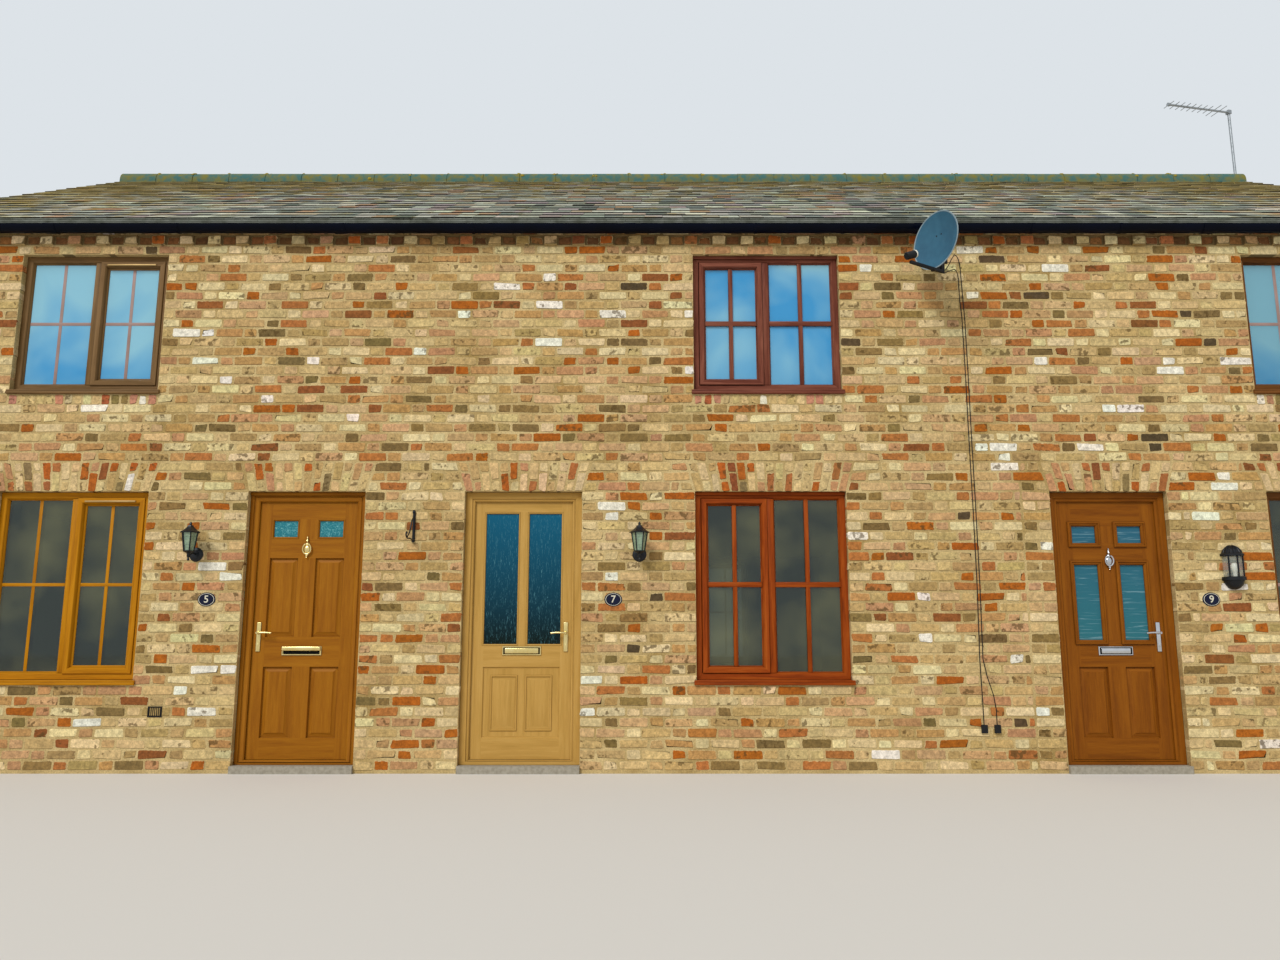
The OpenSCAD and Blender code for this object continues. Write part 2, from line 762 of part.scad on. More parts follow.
module half_lantern(x, z) translate([x, front_y, z - half_lantern_h / 2]) {
    r = half_lantern_w / 2;
    glass_r = half_lantern_in * r;
    stem_r = half_lantern_stem * r;
    glass_z = half_lantern_foot_h + half_lantern_low_rim_h;
    rim_z = glass_z + half_lantern_glass_h;
    intersection() {
        union() {
            cylinder(h = half_lantern_foot_h, r1 = stem_r, r2 = glass_r);
            cylinder(h = rim_z, r = stem_r);
            translate([0, 0, half_lantern_foot_h]) cylinder(h = half_lantern_low_rim_h, r = r);
            translate([0, 0, glass_z]) cylinder(h = half_lantern_glass_h, r = glass_r);
            translate([0, 0, rim_z]) cylinder(h = half_lantern_rim_h, r = r);
            translate([0, 0, rim_z + half_lantern_rim_h])
                cylinder(h = half_lantern_dome_h, r1 = glass_r, r2 = half_lantern_crown * r);
        }
        translate([-r, -r, 0]) cube([2 * r, r, half_lantern_h]);
    }
}

module wall_lanterns() color("black") {
    coach_lantern(lantern_x[0], lantern_z);
    coach_lantern(lantern_x[1], lantern_z);
    half_lantern(lantern_x[2], half_lantern_z);
}

// Oval number plates
plate_from_door = [262, 243, 264];
plate_x = [for (i = [0:2]) door_x[i] + hand[i] * (door_w / 2 + plate_from_door[i])];
plate_t = 8;

module number_plates() color("darkblue")
    for (x = plate_x) translate([x, 0, plate_z]) plate_y(front_y - plate_t, plate_t)
        scale([1, plate_h / plate_w]) circle(d = plate_w);

// Hanging basket bracket on the party line between the first two houses:
// an upright bar with a knob at each end, an arm low down and a tie up to the bar
bracket_x = party_line[0];
bracket_h = 250;
bracket_bar = 12;
bracket_post = 18;
knob_r = 14;
arm_up = 14;
hook_h = 45;
tie_down = 50;
tie_short = 30;

module basket_bracket() color("black") {
    bar_y = front_y - knob_r;
    tip_y = front_y - bracket_reach;
    foot_z = bracket_z - bracket_h;
    arm_z = foot_z + arm_up;
    tie_z = bracket_z - tie_down;
    x0 = bracket_x - bracket_bar / 2;
    x1 = bracket_x + bracket_bar / 2;
    translate([bracket_x, bar_y, foot_z]) cylinder(h = bracket_h, d = bracket_post);
    for (z = [foot_z + knob_r, bracket_z - knob_r])
        translate([bracket_x, bar_y, z]) rotate([90, 0, 0]) cylinder(h = 2 * knob_r, r = knob_r, center = true);
    box(x0, x1, tip_y, bar_y, arm_z, arm_z + bracket_bar);
    box(x0, x1, tip_y, tip_y + bracket_bar, arm_z, arm_z + hook_h);
    run_x(x0, x1, [
        [bar_y, tie_z - bracket_bar], [bar_y, tie_z],
        [tip_y + tie_short, arm_z + bracket_bar], [tip_y + tie_short + bracket_bar, arm_z + bracket_bar / 2],
    ]);
}

// Dish on an upturned pole from a wall plate, turned left and tilted up
dish_from_party = 400;
dish_x = party_line[2] - dish_from_party;
dish_stand_off = 330;
dish_pole_y = front_y - dish_stand_off;
dish_turn = -62;
dish_tilt = 3;
dish_sheet = 4;
dish_ahead = 90;
pole_d = 34;
pole_l = 180;
pole_up = 100;
dish_arm_down = 60;
dish_plate_w = 80;
dish_plate_h = 120;
dish_plate_t = 6;
dish_plate_up = 30;
dish_r = dish_w / 2;
dish_ball_r = (dish_r * dish_r + dish_depth * dish_depth) / (2 * dish_depth);

module dish_bowl() translate([0, -dish_ball_r, 0]) rotate([-90, 0, 0]) rotate_extrude($fn = 64)
    intersection() {
        difference() {
            circle(dish_ball_r, $fn = 180);
            circle(dish_ball_r - dish_sheet, $fn = 180);
        }
        translate([0, dish_ball_r - dish_depth]) square([dish_r, dish_depth + dish_sheet]);
    }

feed_arm_l = 300;
feed_arm_w = 22;
feed_arm_back = 20;
feed_z = -dish_r - feed_arm_w;
rib_w = 16;
rib_h = 30;
feed_head_d = 58;
feed_head_l = 84;
feed_head_up = 42;
feed_cap_d = 64;
feed_cap_l = 16;
feed_tilt = 25;

module dish_feed() {
    box(-feed_arm_w / 2, feed_arm_w / 2, -feed_arm_l, feed_arm_back, feed_z, -dish_r);
    run_x(-rib_w / 2, rib_w / 2, [
        [feed_arm_back, feed_z], [feed_arm_back, -dish_r],
        [dish_ahead, -rib_h], [dish_ahead, rib_h], [-dish_sheet / 2, rib_h], [-dish_sheet / 2, -rib_h],
    ]);
    translate([0, -feed_arm_l, feed_head_up - dish_r]) rotate([feed_tilt - 90, 0, 0]) {
        translate([0, 0, -feed_head_l / 2]) cylinder(h = feed_head_l, d = feed_head_d);
        translate([0, 0, feed_head_l / 2]) cylinder(h = feed_cap_l, d = feed_cap_d);
    }
}

module satellite_dish() color("dimgray") {
    translate([dish_x, dish_pole_y, dish_z]) rotate([0, 0, dish_turn]) rotate([-dish_tilt, 0, 0])
        translate([0, -dish_ahead, 0]) {
            dish_bowl();
            dish_feed();
        }
    translate([dish_x, dish_pole_y, dish_z + pole_up - pole_l]) cylinder(h = pole_l, d = pole_d);
    translate([dish_x, front_y, dish_z - dish_arm_down]) rotate([90, 0, 0])
        cylinder(h = dish_stand_off, d = pole_d);
    box(dish_x - dish_plate_w / 2, dish_x + dish_plate_w / 2, front_y - dish_plate_t, front_y,
        dish_z + dish_plate_up - dish_plate_h, dish_z + dish_plate_up);
}

// Television aerial: a mast clamped to the right gable just behind the ridge,
// and a boom with short rods that points left
mast_d = 32;
mast_x = end_x + verge_over + mast_d;
mast_y = 130;
mast_grip = 900;
mast_foot_z = under_roof(0) - mast_grip;
mast_top_z = over_roof(0) + mast_rise;
mast_clamps = [60, 480];
clamp_w = 24;
clamp_h = 30;
clamp_plate_w = 180;
clamp_plate_h = 70;
clamp_plate_t = 6;
boom_turn = 12;
boom_d = 26;
boom_cap_d = 44;
boom_cap_l = 24;
boom_clamp = 24;
boom_end = 60;
boom_tip = 20;
rods = 10;
rod_d = 8;
long_rods = 2;
long_rod_l = 1.5 * rod_l;
rod_pitch = (boom_l - boom_end - boom_tip) / rods;

module tv_aerial() color("silver") {
    translate([mast_x, mast_y, mast_foot_z]) cylinder(h = mast_top_z - mast_foot_z, d = mast_d);
    for (up = mast_clamps) translate([0, mast_y, mast_foot_z + up]) {
        box(end_x, mast_x, -clamp_w / 2, clamp_w / 2, 0, clamp_h);
        box(end_x, end_x + clamp_plate_t, -clamp_plate_w / 2, clamp_plate_w / 2,
            (clamp_h - clamp_plate_h) / 2, (clamp_h + clamp_plate_h) / 2);
    }
    translate([mast_x, mast_y, mast_top_z - clamp_h]) rotate([0, 0, 180 + boom_turn]) {
        rotate([0, 90, 0]) cylinder(h = boom_l, d = boom_d);
        translate([boom_l - boom_cap_l, 0, 0]) rotate([0, 90, 0]) cylinder(h = boom_cap_l, d = boom_cap_d);
        for (k = [1:rods])
            translate([boom_l - boom_tip - (k - 1) * rod_pitch, 0, 0]) rotate([90, 0, 0])
                cylinder(h = k > rods - long_rods ? long_rod_l : rod_l, d = rod_d, center = true);
        box(-boom_clamp, boom_clamp, -boom_clamp, boom_clamp, -boom_clamp, boom_clamp);
    }
}

// Two cables from the foot of the dish down the wall, each into a small cover.
// Their points are [x from the pole of the dish, distance from the wall, z].
cable_a = [
    [-75, 369, 3728], [-35, 310, 3742], [15, 240, 3785], [60, 190, 3815], [96, 150, 3838],
    [130, 90, 3850], [155, 40, 3850], [170, 8, 3838], [176, 0, 3815], [176, 0, 3650],
    [186, 0, 3500], [188, 0, 3060], [186, 0, 2470],
    [187, 0, 2010], [184, 0, 1370], [172, 0, 830], [176, 0, 460], [176, 0, 350],
];
cable_b = [
    [-75, 371, 3738], [-25, 300, 3772], [20, 240, 3830], [70, 170, 3910], [113, 120, 3970],
    [150, 60, 3985], [180, 16, 3970], [190, 4, 3945], [195, 0, 3890], [202, 0, 3650],
    [208, 0, 3490], [209, 0, 3050], [207, 0, 2460],
    [208, 0, 2000], [205, 0, 1360], [196, 0, 830], [220, 0, 700], [260, 0, 560],
    [273, 0, 460], [273, 0, 350],
];
cable_sides = 8;
cover_w = 44;
cover_h = 60;
cover_t = 20;
wall_play = 0.3;

function unit(v) = v / norm(v);
function cable_point(p) = [dish_x + p[0], front_y - wall_play - cable_d / 2 - p[1], p[2]];
function along(pts, k) = unit(pts[min(k + 1, len(pts) - 1)] - pts[max(k - 1, 0)]);
function ring_at(p, t) =
    let (u = unit(cross(t, [0.3, -1, 0])), v = cross(t, u))
    [for (s = [0:cable_sides - 1])
        p + cable_d / 2 * (cos(360 * s / cable_sides) * u + sin(360 * s / cable_sides) * v)];

module cable(route) {
    pts = [for (p = route) cable_point(p)];
    n = len(pts);
    m = cable_sides;
    rings = [for (k = [0:n - 1]) each ring_at(pts[k], along(pts, k))];
    faces = concat(
        [[for (s = [0:m - 1]) s]],
        [for (k = [0:n - 2], s = [0:m - 1])
            [k * m + s, (k + 1) * m + s, (k + 1) * m + (s + 1) % m, k * m + (s + 1) % m]],
        [[for (s = [0:m - 1]) (n - 1) * m + (m - 1 - s)]]
    );
    polyhedron(rings, faces);
    foot = pts[n - 1];
    box(foot[0] - cover_w / 2, foot[0] + cover_w / 2, front_y - cover_t, front_y, foot[2] - cover_h, foot[2]);
}

module dish_cables() color("black") {
    cable(cable_a);
    cable(cable_b);
}

// Air brick in the sixth course, beside the left window
air_brick_from_window = 184;
air_brick_x = window_x[0] + window_w / 2 + air_brick_from_window;
air_brick_w = 106;
air_brick_out = 6;

module air_brick() color("black")
    box(air_brick_x - air_brick_w / 2, air_brick_x + air_brick_w / 2, front_y - air_brick_out, front_y,
        bed(5), bed(6));

ground_floor_slab();
first_floor();
front_wall_left_bay();
front_wall_pier();
front_wall_middle_bay();
front_wall_right_bay();
walls_over_doors();
rear_wall();
left_gable_wall();
right_gable_wall();
party_walls();
flat_arches();
eaves_bands();
front_roof_slope();
rear_roof_slope();
ridge_tiles();
gutters();
downpipes();
door_steps();
left_door_frame();
middle_door_frame();
right_door_frame();
left_door_leaf();
middle_door_leaf();
right_door_leaf();
left_door_glass();
middle_door_glass();
right_door_glass();
left_door_fittings();
middle_door_fittings();
right_door_fittings();
left_house_windows();
middle_house_windows();
right_house_windows();
front_window_glass();
rear_windows();
rear_window_glass();
rear_doors();
wall_lanterns();
number_plates();
basket_bracket();
satellite_dish();
tv_aerial();
dish_cables();
air_brick();
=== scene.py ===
"""Looks of a row of three brick terraced houses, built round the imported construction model.

The street front faces -Y, +X runs to the right along it and Z is up, in metres.
"""

import logging
import math
from dataclasses import dataclass, field
from enum import Enum

import bmesh
import bpy
import numpy as np
from mathutils import Matrix, Vector


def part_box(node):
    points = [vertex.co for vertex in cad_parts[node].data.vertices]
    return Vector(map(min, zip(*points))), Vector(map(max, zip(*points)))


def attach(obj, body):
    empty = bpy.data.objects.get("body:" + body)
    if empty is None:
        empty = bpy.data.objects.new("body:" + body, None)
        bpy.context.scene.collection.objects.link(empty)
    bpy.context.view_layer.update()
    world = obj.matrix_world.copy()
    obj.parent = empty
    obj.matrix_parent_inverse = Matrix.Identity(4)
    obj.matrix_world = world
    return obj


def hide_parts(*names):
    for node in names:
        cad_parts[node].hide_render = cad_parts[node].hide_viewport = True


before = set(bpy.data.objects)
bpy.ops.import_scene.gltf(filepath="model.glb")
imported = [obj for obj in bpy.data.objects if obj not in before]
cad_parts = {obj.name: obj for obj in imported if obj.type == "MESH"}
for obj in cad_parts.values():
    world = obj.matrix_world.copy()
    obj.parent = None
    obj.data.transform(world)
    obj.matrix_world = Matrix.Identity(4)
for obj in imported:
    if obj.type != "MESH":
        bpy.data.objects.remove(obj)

Socket = bpy.types.NodeSocket
Span = tuple[float, float]
Point = tuple[float, float]
Spot = tuple[float, float, float]
Field = tuple[float, float, float, float]

LOG = logging.getLogger("terrace")
SEED = 20
STREET = (0, -1, 0)

# Measures that the construction model gives
FRONT = -3.65
HALF_ROW = 6.75
COURSE = 0.077
FIRST_BED = 0.02
JOINT = 0.010
STRETCHER = 0.215
PERIOD = 2 * HALF_ROW / 40
PITCH = math.radians(30.5)
BAND_OUT = 0.030
ARCH_SPLAY = math.radians(15)
STEP_H = 0.055
DOOR_W = 0.903
WINDOW_W = 1.165

# Courses that the openings and the eaves keep to, counted from the ground
LOWER_SILL = 8
ARCH_FOOT = 27
ARCH_HEAD = 30
UPPER_SILL = 36
UPPER_HEAD = 52
DENTILS = 53
GABLE_TOP = 83


class Body(Enum):
    """The bodies of the construction model."""

    HOUSE = "house"
    LEFT_DOOR = "left_door"
    MIDDLE_DOOR = "middle_door"
    RIGHT_DOOR = "right_door"


class Grain(Enum):
    """Which way the grain of a piece of wood or foil runs."""

    UP = 2
    ACROSS = 0


def bed(course: float) -> float:
    """Height of a bed joint above the ground.

    Args:
        course: Number of the course that lies on the joint.

    Returns:
        The height in metres.
    """
    return FIRST_BED + course * COURSE


HEAD_Z = bed(ARCH_FOOT)
ARCH_TOP = bed(ARCH_HEAD)
BAND_TOP = bed(DENTILS + 2)


@dataclass(frozen=True)
class Opening:
    """An opening in the street front, by its middle, width and heights."""

    x: float
    w: float
    z0: float
    z1: float

    @property
    def left(self) -> float:
        """Left edge of the opening."""
        return self.x - self.w / 2

    @property
    def right(self) -> float:
        """Right edge of the opening."""
        return self.x + self.w / 2


DOORS = tuple(Opening(x, DOOR_W, 0.0, HEAD_Z) for x in (-3.0835, -1.4165, 3.0835))
WINDOW_X = (-4.8855, 0.4855, 4.8855)
LOWER = tuple(Opening(x, WINDOW_W, bed(LOWER_SILL), HEAD_Z) for x in WINDOW_X)
UPPER = tuple(Opening(x, WINDOW_W, bed(UPPER_SILL + 1), bed(UPPER_HEAD)) for x in WINDOW_X)


def linear(code: str) -> Field:
    """Turns an sRGB hex colour to linear.

    Args:
        code: The colour, such as "#C9AE6B".

    Returns:
        Linear red, green, blue and an alpha of 1.
    """
    parts = [int(code[i : i + 2], 16) / 255 for i in (1, 3, 5)]
    r, g, b = (c / 12.92 if c <= 0.04045 else ((c + 0.055) / 1.055) ** 2.4 for c in parts)
    return r, g, b, 1.0


def mm(*points: Point) -> list[Point]:
    """Turns the points of a profile from millimetres to metres."""
    return [(a / 1000, b / 1000) for a, b in points]


# Finishes

BLEND = {"data_type": "RGBA", "out": 2}


class Shade:
    """A node tree, with one small way to add a node."""

    def __init__(self, owner: bpy.types.Material | bpy.types.World) -> None:
        """Starts an empty tree in a material or a world."""
        owner.use_nodes = True
        self.tree = owner.node_tree
        self.tree.nodes.clear()

    def add(self, kind: str, *first: object, out: int | str = 0, **more: object) -> Socket | None:
        """Adds a node.

        Args:
            kind: The node's type without "ShaderNode".
            *first: Values or sockets of its first inputs, in order.
            out: The output that is given back.
            **more: With a capital, another input. Otherwise a setting, or the stops of a ramp.

        Returns:
            The chosen output. A hex colour among the inputs has turned linear.
        """
        node = self.tree.nodes.new("ShaderNode" + kind)
        sockets = {i.identifier.replace(" ", "_"): i for i in node.inputs}
        inputs = [*zip(node.inputs, first)]
        for key, value in more.items():
            if key in sockets:
                inputs.append((sockets[key], value))
            elif key == "stops":
                while len(node.color_ramp.elements) < len(value):
                    node.color_ramp.elements.new(0.5)
                for element, (place, code) in zip(node.color_ramp.elements, value):
                    element.position, element.color = place, linear(code)
            else:
                setattr(node, key, value)
        for socket, value in inputs:
            if isinstance(value, Socket):
                self.tree.links.new(value, socket)
            else:
                socket.default_value = linear(value) if isinstance(value, str) else value
        return node.outputs[out] if node.outputs else None

    def laid(self) -> tuple[Socket, ...]:
        """Colour, edge and marks of one brick or slate, the place, and the place shifted for each one."""
        wanted = (("tint", "Color"), ("edge", "Fac"), ("mark", "Vector"))
        tint, edge, mark = (self.add("Attribute", attribute_name=name, out=out) for name, out in wanted)
        place = self.add("TexCoord", out="Object")
        far = self.add("VectorMath", mark, Scale=30.0, operation="SCALE")
        return tint, edge, mark, place, self.add("VectorMath", place, far)

    def skin(self, colour: Socket, height: Socket | None = None, strength: float = 0.0,
             distance: float = 0.0, **more: float) -> Socket:
        """Ends a surface.

        Args:
            colour: Its colour.
            height: What its relief follows.
            strength: How strong the relief is.
            distance: How deep the relief is, in metres.
            **more: Its roughness and the like.

        Returns:
            The surface's socket.
        """
        if distance:
            more["Normal"] = self.add("Bump", Height=height, Strength=strength, Distance=distance)
        return self.add("BsdfPrincipled", colour, **more)


@dataclass(frozen=True)
class Finish:
    """A finish that is built once and then shared."""

    name: str

    def material(self) -> bpy.types.Material:
        """The finish's material, built at its first use."""
        found = bpy.data.materials.get(self.name)
        if found is None:
            found = bpy.data.materials.new(self.name)
            shade = Shade(found)
            shade.add("OutputMaterial", self.surface(shade))
        return found

    def surface(self, s: Shade) -> Socket:
        """Builds the surface in a tree."""
        raise NotImplementedError


@dataclass(frozen=True)
class ReclaimedBrick(Finish):
    """Reclaimed stock bricks, hand moulded and kiln fired.

    Each face is dry and gritty in a colour of its own, with ragged smears of lime mortar along
    its edges, scorched patches on some, and painted shade on the faces that look down.
    """

    mortar: str = "#D2BC8A"
    # Colour of the scorched patches, also used for the painted shade on faces that look down
    scorch_and_shade: str = "#54401F"
    grit_mm: float = 12.0
    mottle_mm: float = 30.0
    patch_mm: float = 42.0
    rag_mm: float = 24.0

    def surface(self, s: Shade) -> Socket:
        """Builds the surface in a tree."""
        face, edge, mark, _, at = s.laid()
        marks = s.add("SeparateXYZ", mark).node.outputs
        grit = s.add("TexNoise", at, Scale=1000 / self.grit_mm, Detail=4.0, Roughness=0.65)
        mottle = s.add("TexNoise", at, Scale=1000 / self.mottle_mm, Detail=3.0)
        tone = s.add("MapRange", mottle, 0.3, 0.7, 0.72, 1.20)
        speck = s.add("MapRange", grit, 0.3, 0.62, 0.74, 1.10)
        both = s.add("Math", tone, speck, operation="MULTIPLY")
        face = s.add("VectorMath", face, Scale=both, operation="SCALE")
        # A fire-scorched patch on some bricks
        patch = s.add("TexNoise", at, Scale=1000 / self.patch_mm, Detail=4.0)
        lift = s.add("Math", marks[0], 0.30, patch, operation="MULTIPLY_ADD")
        burnt = s.add("MapRange", lift, 0.82, 0.88, 0.0, 0.7)
        # Mortar smeared over the edge in ragged tongues
        rag = s.add("TexNoise", at, Scale=1000 / self.rag_mm, Detail=5.0, Roughness=0.6)
        reach = s.add("Math", edge, -0.62, rag, operation="MULTIPLY_ADD")
        spill = s.add("Math", marks[1], 0.29, reach, operation="MULTIPLY_ADD")
        smear = s.add("MapRange", spill, 0.60, 0.70, 0.0, 0.9)
        # Painted shade: faces that look down are darkened with the scorch colour
        up = s.add("SeparateXYZ", s.add("NewGeometry", out="Normal"), out=2)
        under = s.add("MapRange", up, -0.12, -0.45, 0.0, 0.8)
        for share, code in ((burnt, self.scorch_and_shade), (smear, self.mortar), (under, self.scorch_and_shade)):
            face = s.add("Mix", share, A_Color=face, B_Color=code, **BLEND)
        return s.skin(face, grit, 0.45, 0.002, Roughness=0.93, Specular_IOR_Level=0.2)


@dataclass(frozen=True)
class LimeMortar(Finish):
    """Lime and sand mortar outside, lime plaster inside: dull and fine-grained, with painted shade under the
    eaves.
    """

    outside: str = "#D1B984"
    damp: str = "#A58A54"
    eaves_shade: str = "#6F5A39"
    plaster: str = "#CFC8B8"
    sand_mm: float = 11.0
    damp_mm: float = 1000 / 3
    eaves_shade_z: float = 4.098

    def surface(self, s: Shade) -> Socket:
        """Builds the surface in a tree."""
        place = s.add("TexCoord", out="Object")
        sand = s.add("TexNoise", place, Scale=1000 / self.sand_mm, Detail=3.0)
        wide = s.add("TexNoise", place, Scale=1000 / self.damp_mm, Detail=5.0)
        part = s.add("SeparateXYZ", place).node.outputs
        past = []
        for axis, limit in ((0, HALF_ROW - 0.02), (1, -FRONT - 0.11)):
            out = s.add("Math", part[axis], operation="ABSOLUTE")
            past.append(s.add("Math", out, limit, operation="GREATER_THAN"))
        outer = s.add("Math", *past, operation="MAXIMUM")
        spread = s.add("MapRange", wide, 0.35, 0.7)
        lime = s.add("Mix", spread, A_Color=self.outside, B_Color=self.damp, **BLEND)
        # Painted shade under the eaves: the mortar darkens above this height
        high = s.add("MapRange", part[2], self.eaves_shade_z, self.eaves_shade_z + 0.01, 0.0, 0.85)
        eaves_shaded = s.add("Mix", high, A_Color=lime, B_Color=self.eaves_shade, **BLEND)
        base = s.add("Mix", outer, A_Color=self.plaster, B_Color=eaves_shaded, **BLEND)
        grain = s.add("MapRange", sand, 0.3, 0.7, 0.72, 1.12)
        colour = s.add("VectorMath", base, Scale=grain, operation="SCALE")
        return s.skin(colour, sand, 0.3, 0.002, Roughness=0.95, Specular_IOR_Level=0.15)


@dataclass(frozen=True)
class SplitSlate(Finish):
    """Split slate, weathered: matt, each one a grey of its own, with painted shade on its tail.

    Ochre lichen thickens to the ridge and to the ends of the roof.
    """

    lichen: str = "#9A8232"
    moss: str = "#4E5A2C"
    # Colour of the painted shade on the tail's face
    tail: str = "#15160F"
    cleft_mm: float = 30.0
    lichen_mm: float = 200.0
    moss_mm: float = 62.5

    def surface(self, s: Shade) -> Socket:
        """Builds the surface in a tree."""
        tint, edge, _, place, at = s.laid()
        cleft = s.add("TexNoise", at, Scale=1000 / self.cleft_mm, Detail=5.0, Roughness=0.6)
        tone = s.add("MapRange", cleft, 0.3, 0.7, 0.98, 1.62)
        stone = s.add("VectorMath", tint, Scale=tone, operation="SCALE")
        part = s.add("SeparateXYZ", place).node.outputs
        rise = s.add("MapRange", part[2], 4.8, 6.3, 0.0, 0.17)
        across = s.add("Math", part[0], operation="ABSOLUTE")
        more = s.add("Math", rise, s.add("MapRange", across, 3.6, 6.6, 0.0, 0.12))
        spots = s.add("TexNoise", place, Scale=1000 / self.lichen_mm, Detail=7.0, Roughness=0.7)
        grown = s.add("MapRange", s.add("Math", spots, more), 0.55, 0.68, 0.0, 0.8)
        tufts = s.add("TexNoise", place, Scale=1000 / self.moss_mm, Detail=6.0, Roughness=0.75)
        rim = s.add("Math", edge, -0.16, tufts, operation="MULTIPLY_ADD")
        green = s.add("MapRange", rim, 0.57, 0.66, 0.0, 0.5)
        # Painted shade: the tail's face looks down the slope and is darkened
        up = s.add("SeparateXYZ", s.add("NewGeometry", out="True Normal"), out=2)
        under = s.add("MapRange", up, -0.15, -0.35, 0.0, 0.95)
        for share, code in ((grown, self.lichen), (green, self.moss), (under, self.tail)):
            stone = s.add("Mix", share, A_Color=stone, B_Color=code, **BLEND)
        return s.skin(stone, cleft, 0.5, 0.004, Roughness=0.85, Specular_IOR_Level=0.25)


@dataclass(frozen=True)
class Plain(Finish):
    """A plain material with a faint unevenness from its making, such as plastic, cast iron or stone."""

    colour: str = "#808080"
    other: str = "#707070"
    roughness: float = 0.5
    metallic: float = 0.0
    level: float = 0.5
    coat: float = 0.0
    grain_mm: float = 40.0
    relief_mm: float = 0.0

    def surface(self, s: Shade) -> Socket:
        """Builds the surface in a tree."""
        place = s.add("TexCoord", out="Object")
        grain = s.add("TexNoise", place, Scale=1000 / self.grain_mm, Detail=5.0, Roughness=0.6)
        part = s.add("MapRange", grain, 0.38, 0.66)
        colour = s.add("Mix", part, A_Color=self.colour, B_Color=self.other, **BLEND)
        return s.skin(colour, grain, 0.6, self.relief_mm / 1000, Roughness=self.roughness,
                      Metallic=self.metallic, Specular_IOR_Level=self.level, Coat_Weight=self.coat)


@dataclass(frozen=True)
class Wood(Finish):
    """Oak-printed foil on plastic, or stained timber: long grain, a soft sheen, painted shade in the quirks.

    The grain runs along the UV map's U.
    """

    dark: str = "#6E4208"
    middle: str = "#9A6512"
    light: str = "#B47A22"
    roughness: float = 0.52
    level: float = 0.12
    pore_mm: float = 3.0
    band_mm: float = 38.0
    relief: float = 0.12
    crease_shade_mm: float = 9.0
    crease_shade: float = 0.32

    def surface(self, s: Shade) -> Socket:
        """Builds the surface in a tree."""
        uv = s.add("UVMap")
        fine = s.add("Mapping", uv, Scale=(9.0, 1000 / self.pore_mm, 1.0))
        wide = s.add("Mapping", uv, Scale=(1.6, 1000 / self.band_mm, 1.0))
        pores = s.add("TexNoise", fine, Scale=1.0, Detail=4.0, Roughness=0.6)
        bands = s.add("TexNoise", wide, Scale=1.0, Detail=4.0, Distortion=0.6)
        grain = s.add("Math", pores, 0.45, operation="MULTIPLY")
        mixed = s.add("Math", bands, 0.55, grain, operation="MULTIPLY_ADD")
        stops = ((0.36, self.dark), (0.50, self.middle), (0.66, self.light))
        ramp = s.add("ValToRGB", mixed, stops=stops)
        # Painted shade: colour darkened in quirks and crevices by their occlusion
        occlusion = s.add("AmbientOcclusion", Distance=self.crease_shade_mm / 1000, samples=4, out="AO")
        depth = s.add("MapRange", occlusion, 0.35, 0.95, self.crease_shade, 1.0)
        colour = s.add("VectorMath", ramp, Scale=depth, operation="SCALE")
        return s.skin(colour, pores, self.relief, 0.001, Roughness=self.roughness,
                      Specular_IOR_Level=self.level)


@dataclass(frozen=True)
class WindowPane(Finish):
    """Float glass in sealed units: half clear.

    A painted reflection of the pale sky lies on the upper panes, palest at their heads, and a painted
    reflection of the dull street on the lower ones.
    """

    sky: str = "#1C99D8"
    haze: str = "#8CCBE2"
    street: str = "#1D2A20"
    bright: str = "#6E6E48"
    clear: float = 0.36
    cloud_mm: float = 1000 / 1.1
    patch_mm: float = 1000 / 1.7
    storey: Span = (2.2, 2.7)

    def surface(self, s: Shade) -> Socket:
        """Builds the surface in a tree."""
        place = s.add("TexCoord", out="Object")
        across, _, height = s.add("SeparateXYZ", place).node.outputs
        # Painted reflection of a clouded sky on the upper panes
        cloud = s.add("TexNoise", place, Scale=1000 / self.cloud_mm, Detail=3.0, Distortion=0.5)
        lean = s.add("MapRange", height, 2.9, 4.0, -0.12, 0.06)
        # Painted reflection: the outer houses' windows show a brighter sky
        aside = s.add("Math", across, operation="ABSOLUTE")
        both = s.add("Math", lean, s.add("MapRange", aside, 2.0, 4.3, 0.0, 0.22))
        puff = s.add("MapRange", s.add("Math", cloud, both), 0.42, 0.68)
        sky = s.add("Mix", puff, A_Color=self.sky, B_Color=self.haze, **BLEND)
        # Painted reflection of the street on the lower panes
        patch = s.add("TexNoise", place, Scale=1000 / self.patch_mm, Detail=3.0)
        light = s.add("MapRange", patch, 0.42, 0.72)
        low = s.add("Mix", light, A_Color=self.street, B_Color=self.bright, **BLEND)
        up = s.add("MapRange", height, *self.storey)
        colour = s.add("Mix", up, A_Color=low, B_Color=sky, **BLEND)
        # The blind of the right house hangs close behind the glass and shines through
        near = s.add("MapRange", across, 4.0, 4.2, self.clear - 0.2, self.clear + 0.12)
        see = s.add("MapRange", height, *self.storey, self.clear + 0.08, near)
        lit = s.skin(colour, Roughness=0.04, Specular_IOR_Level=0.8, Coat_Weight=0.6)
        return s.add("MixShader", see, lit, s.add("BsdfTransparent", "#E4EEEA"))


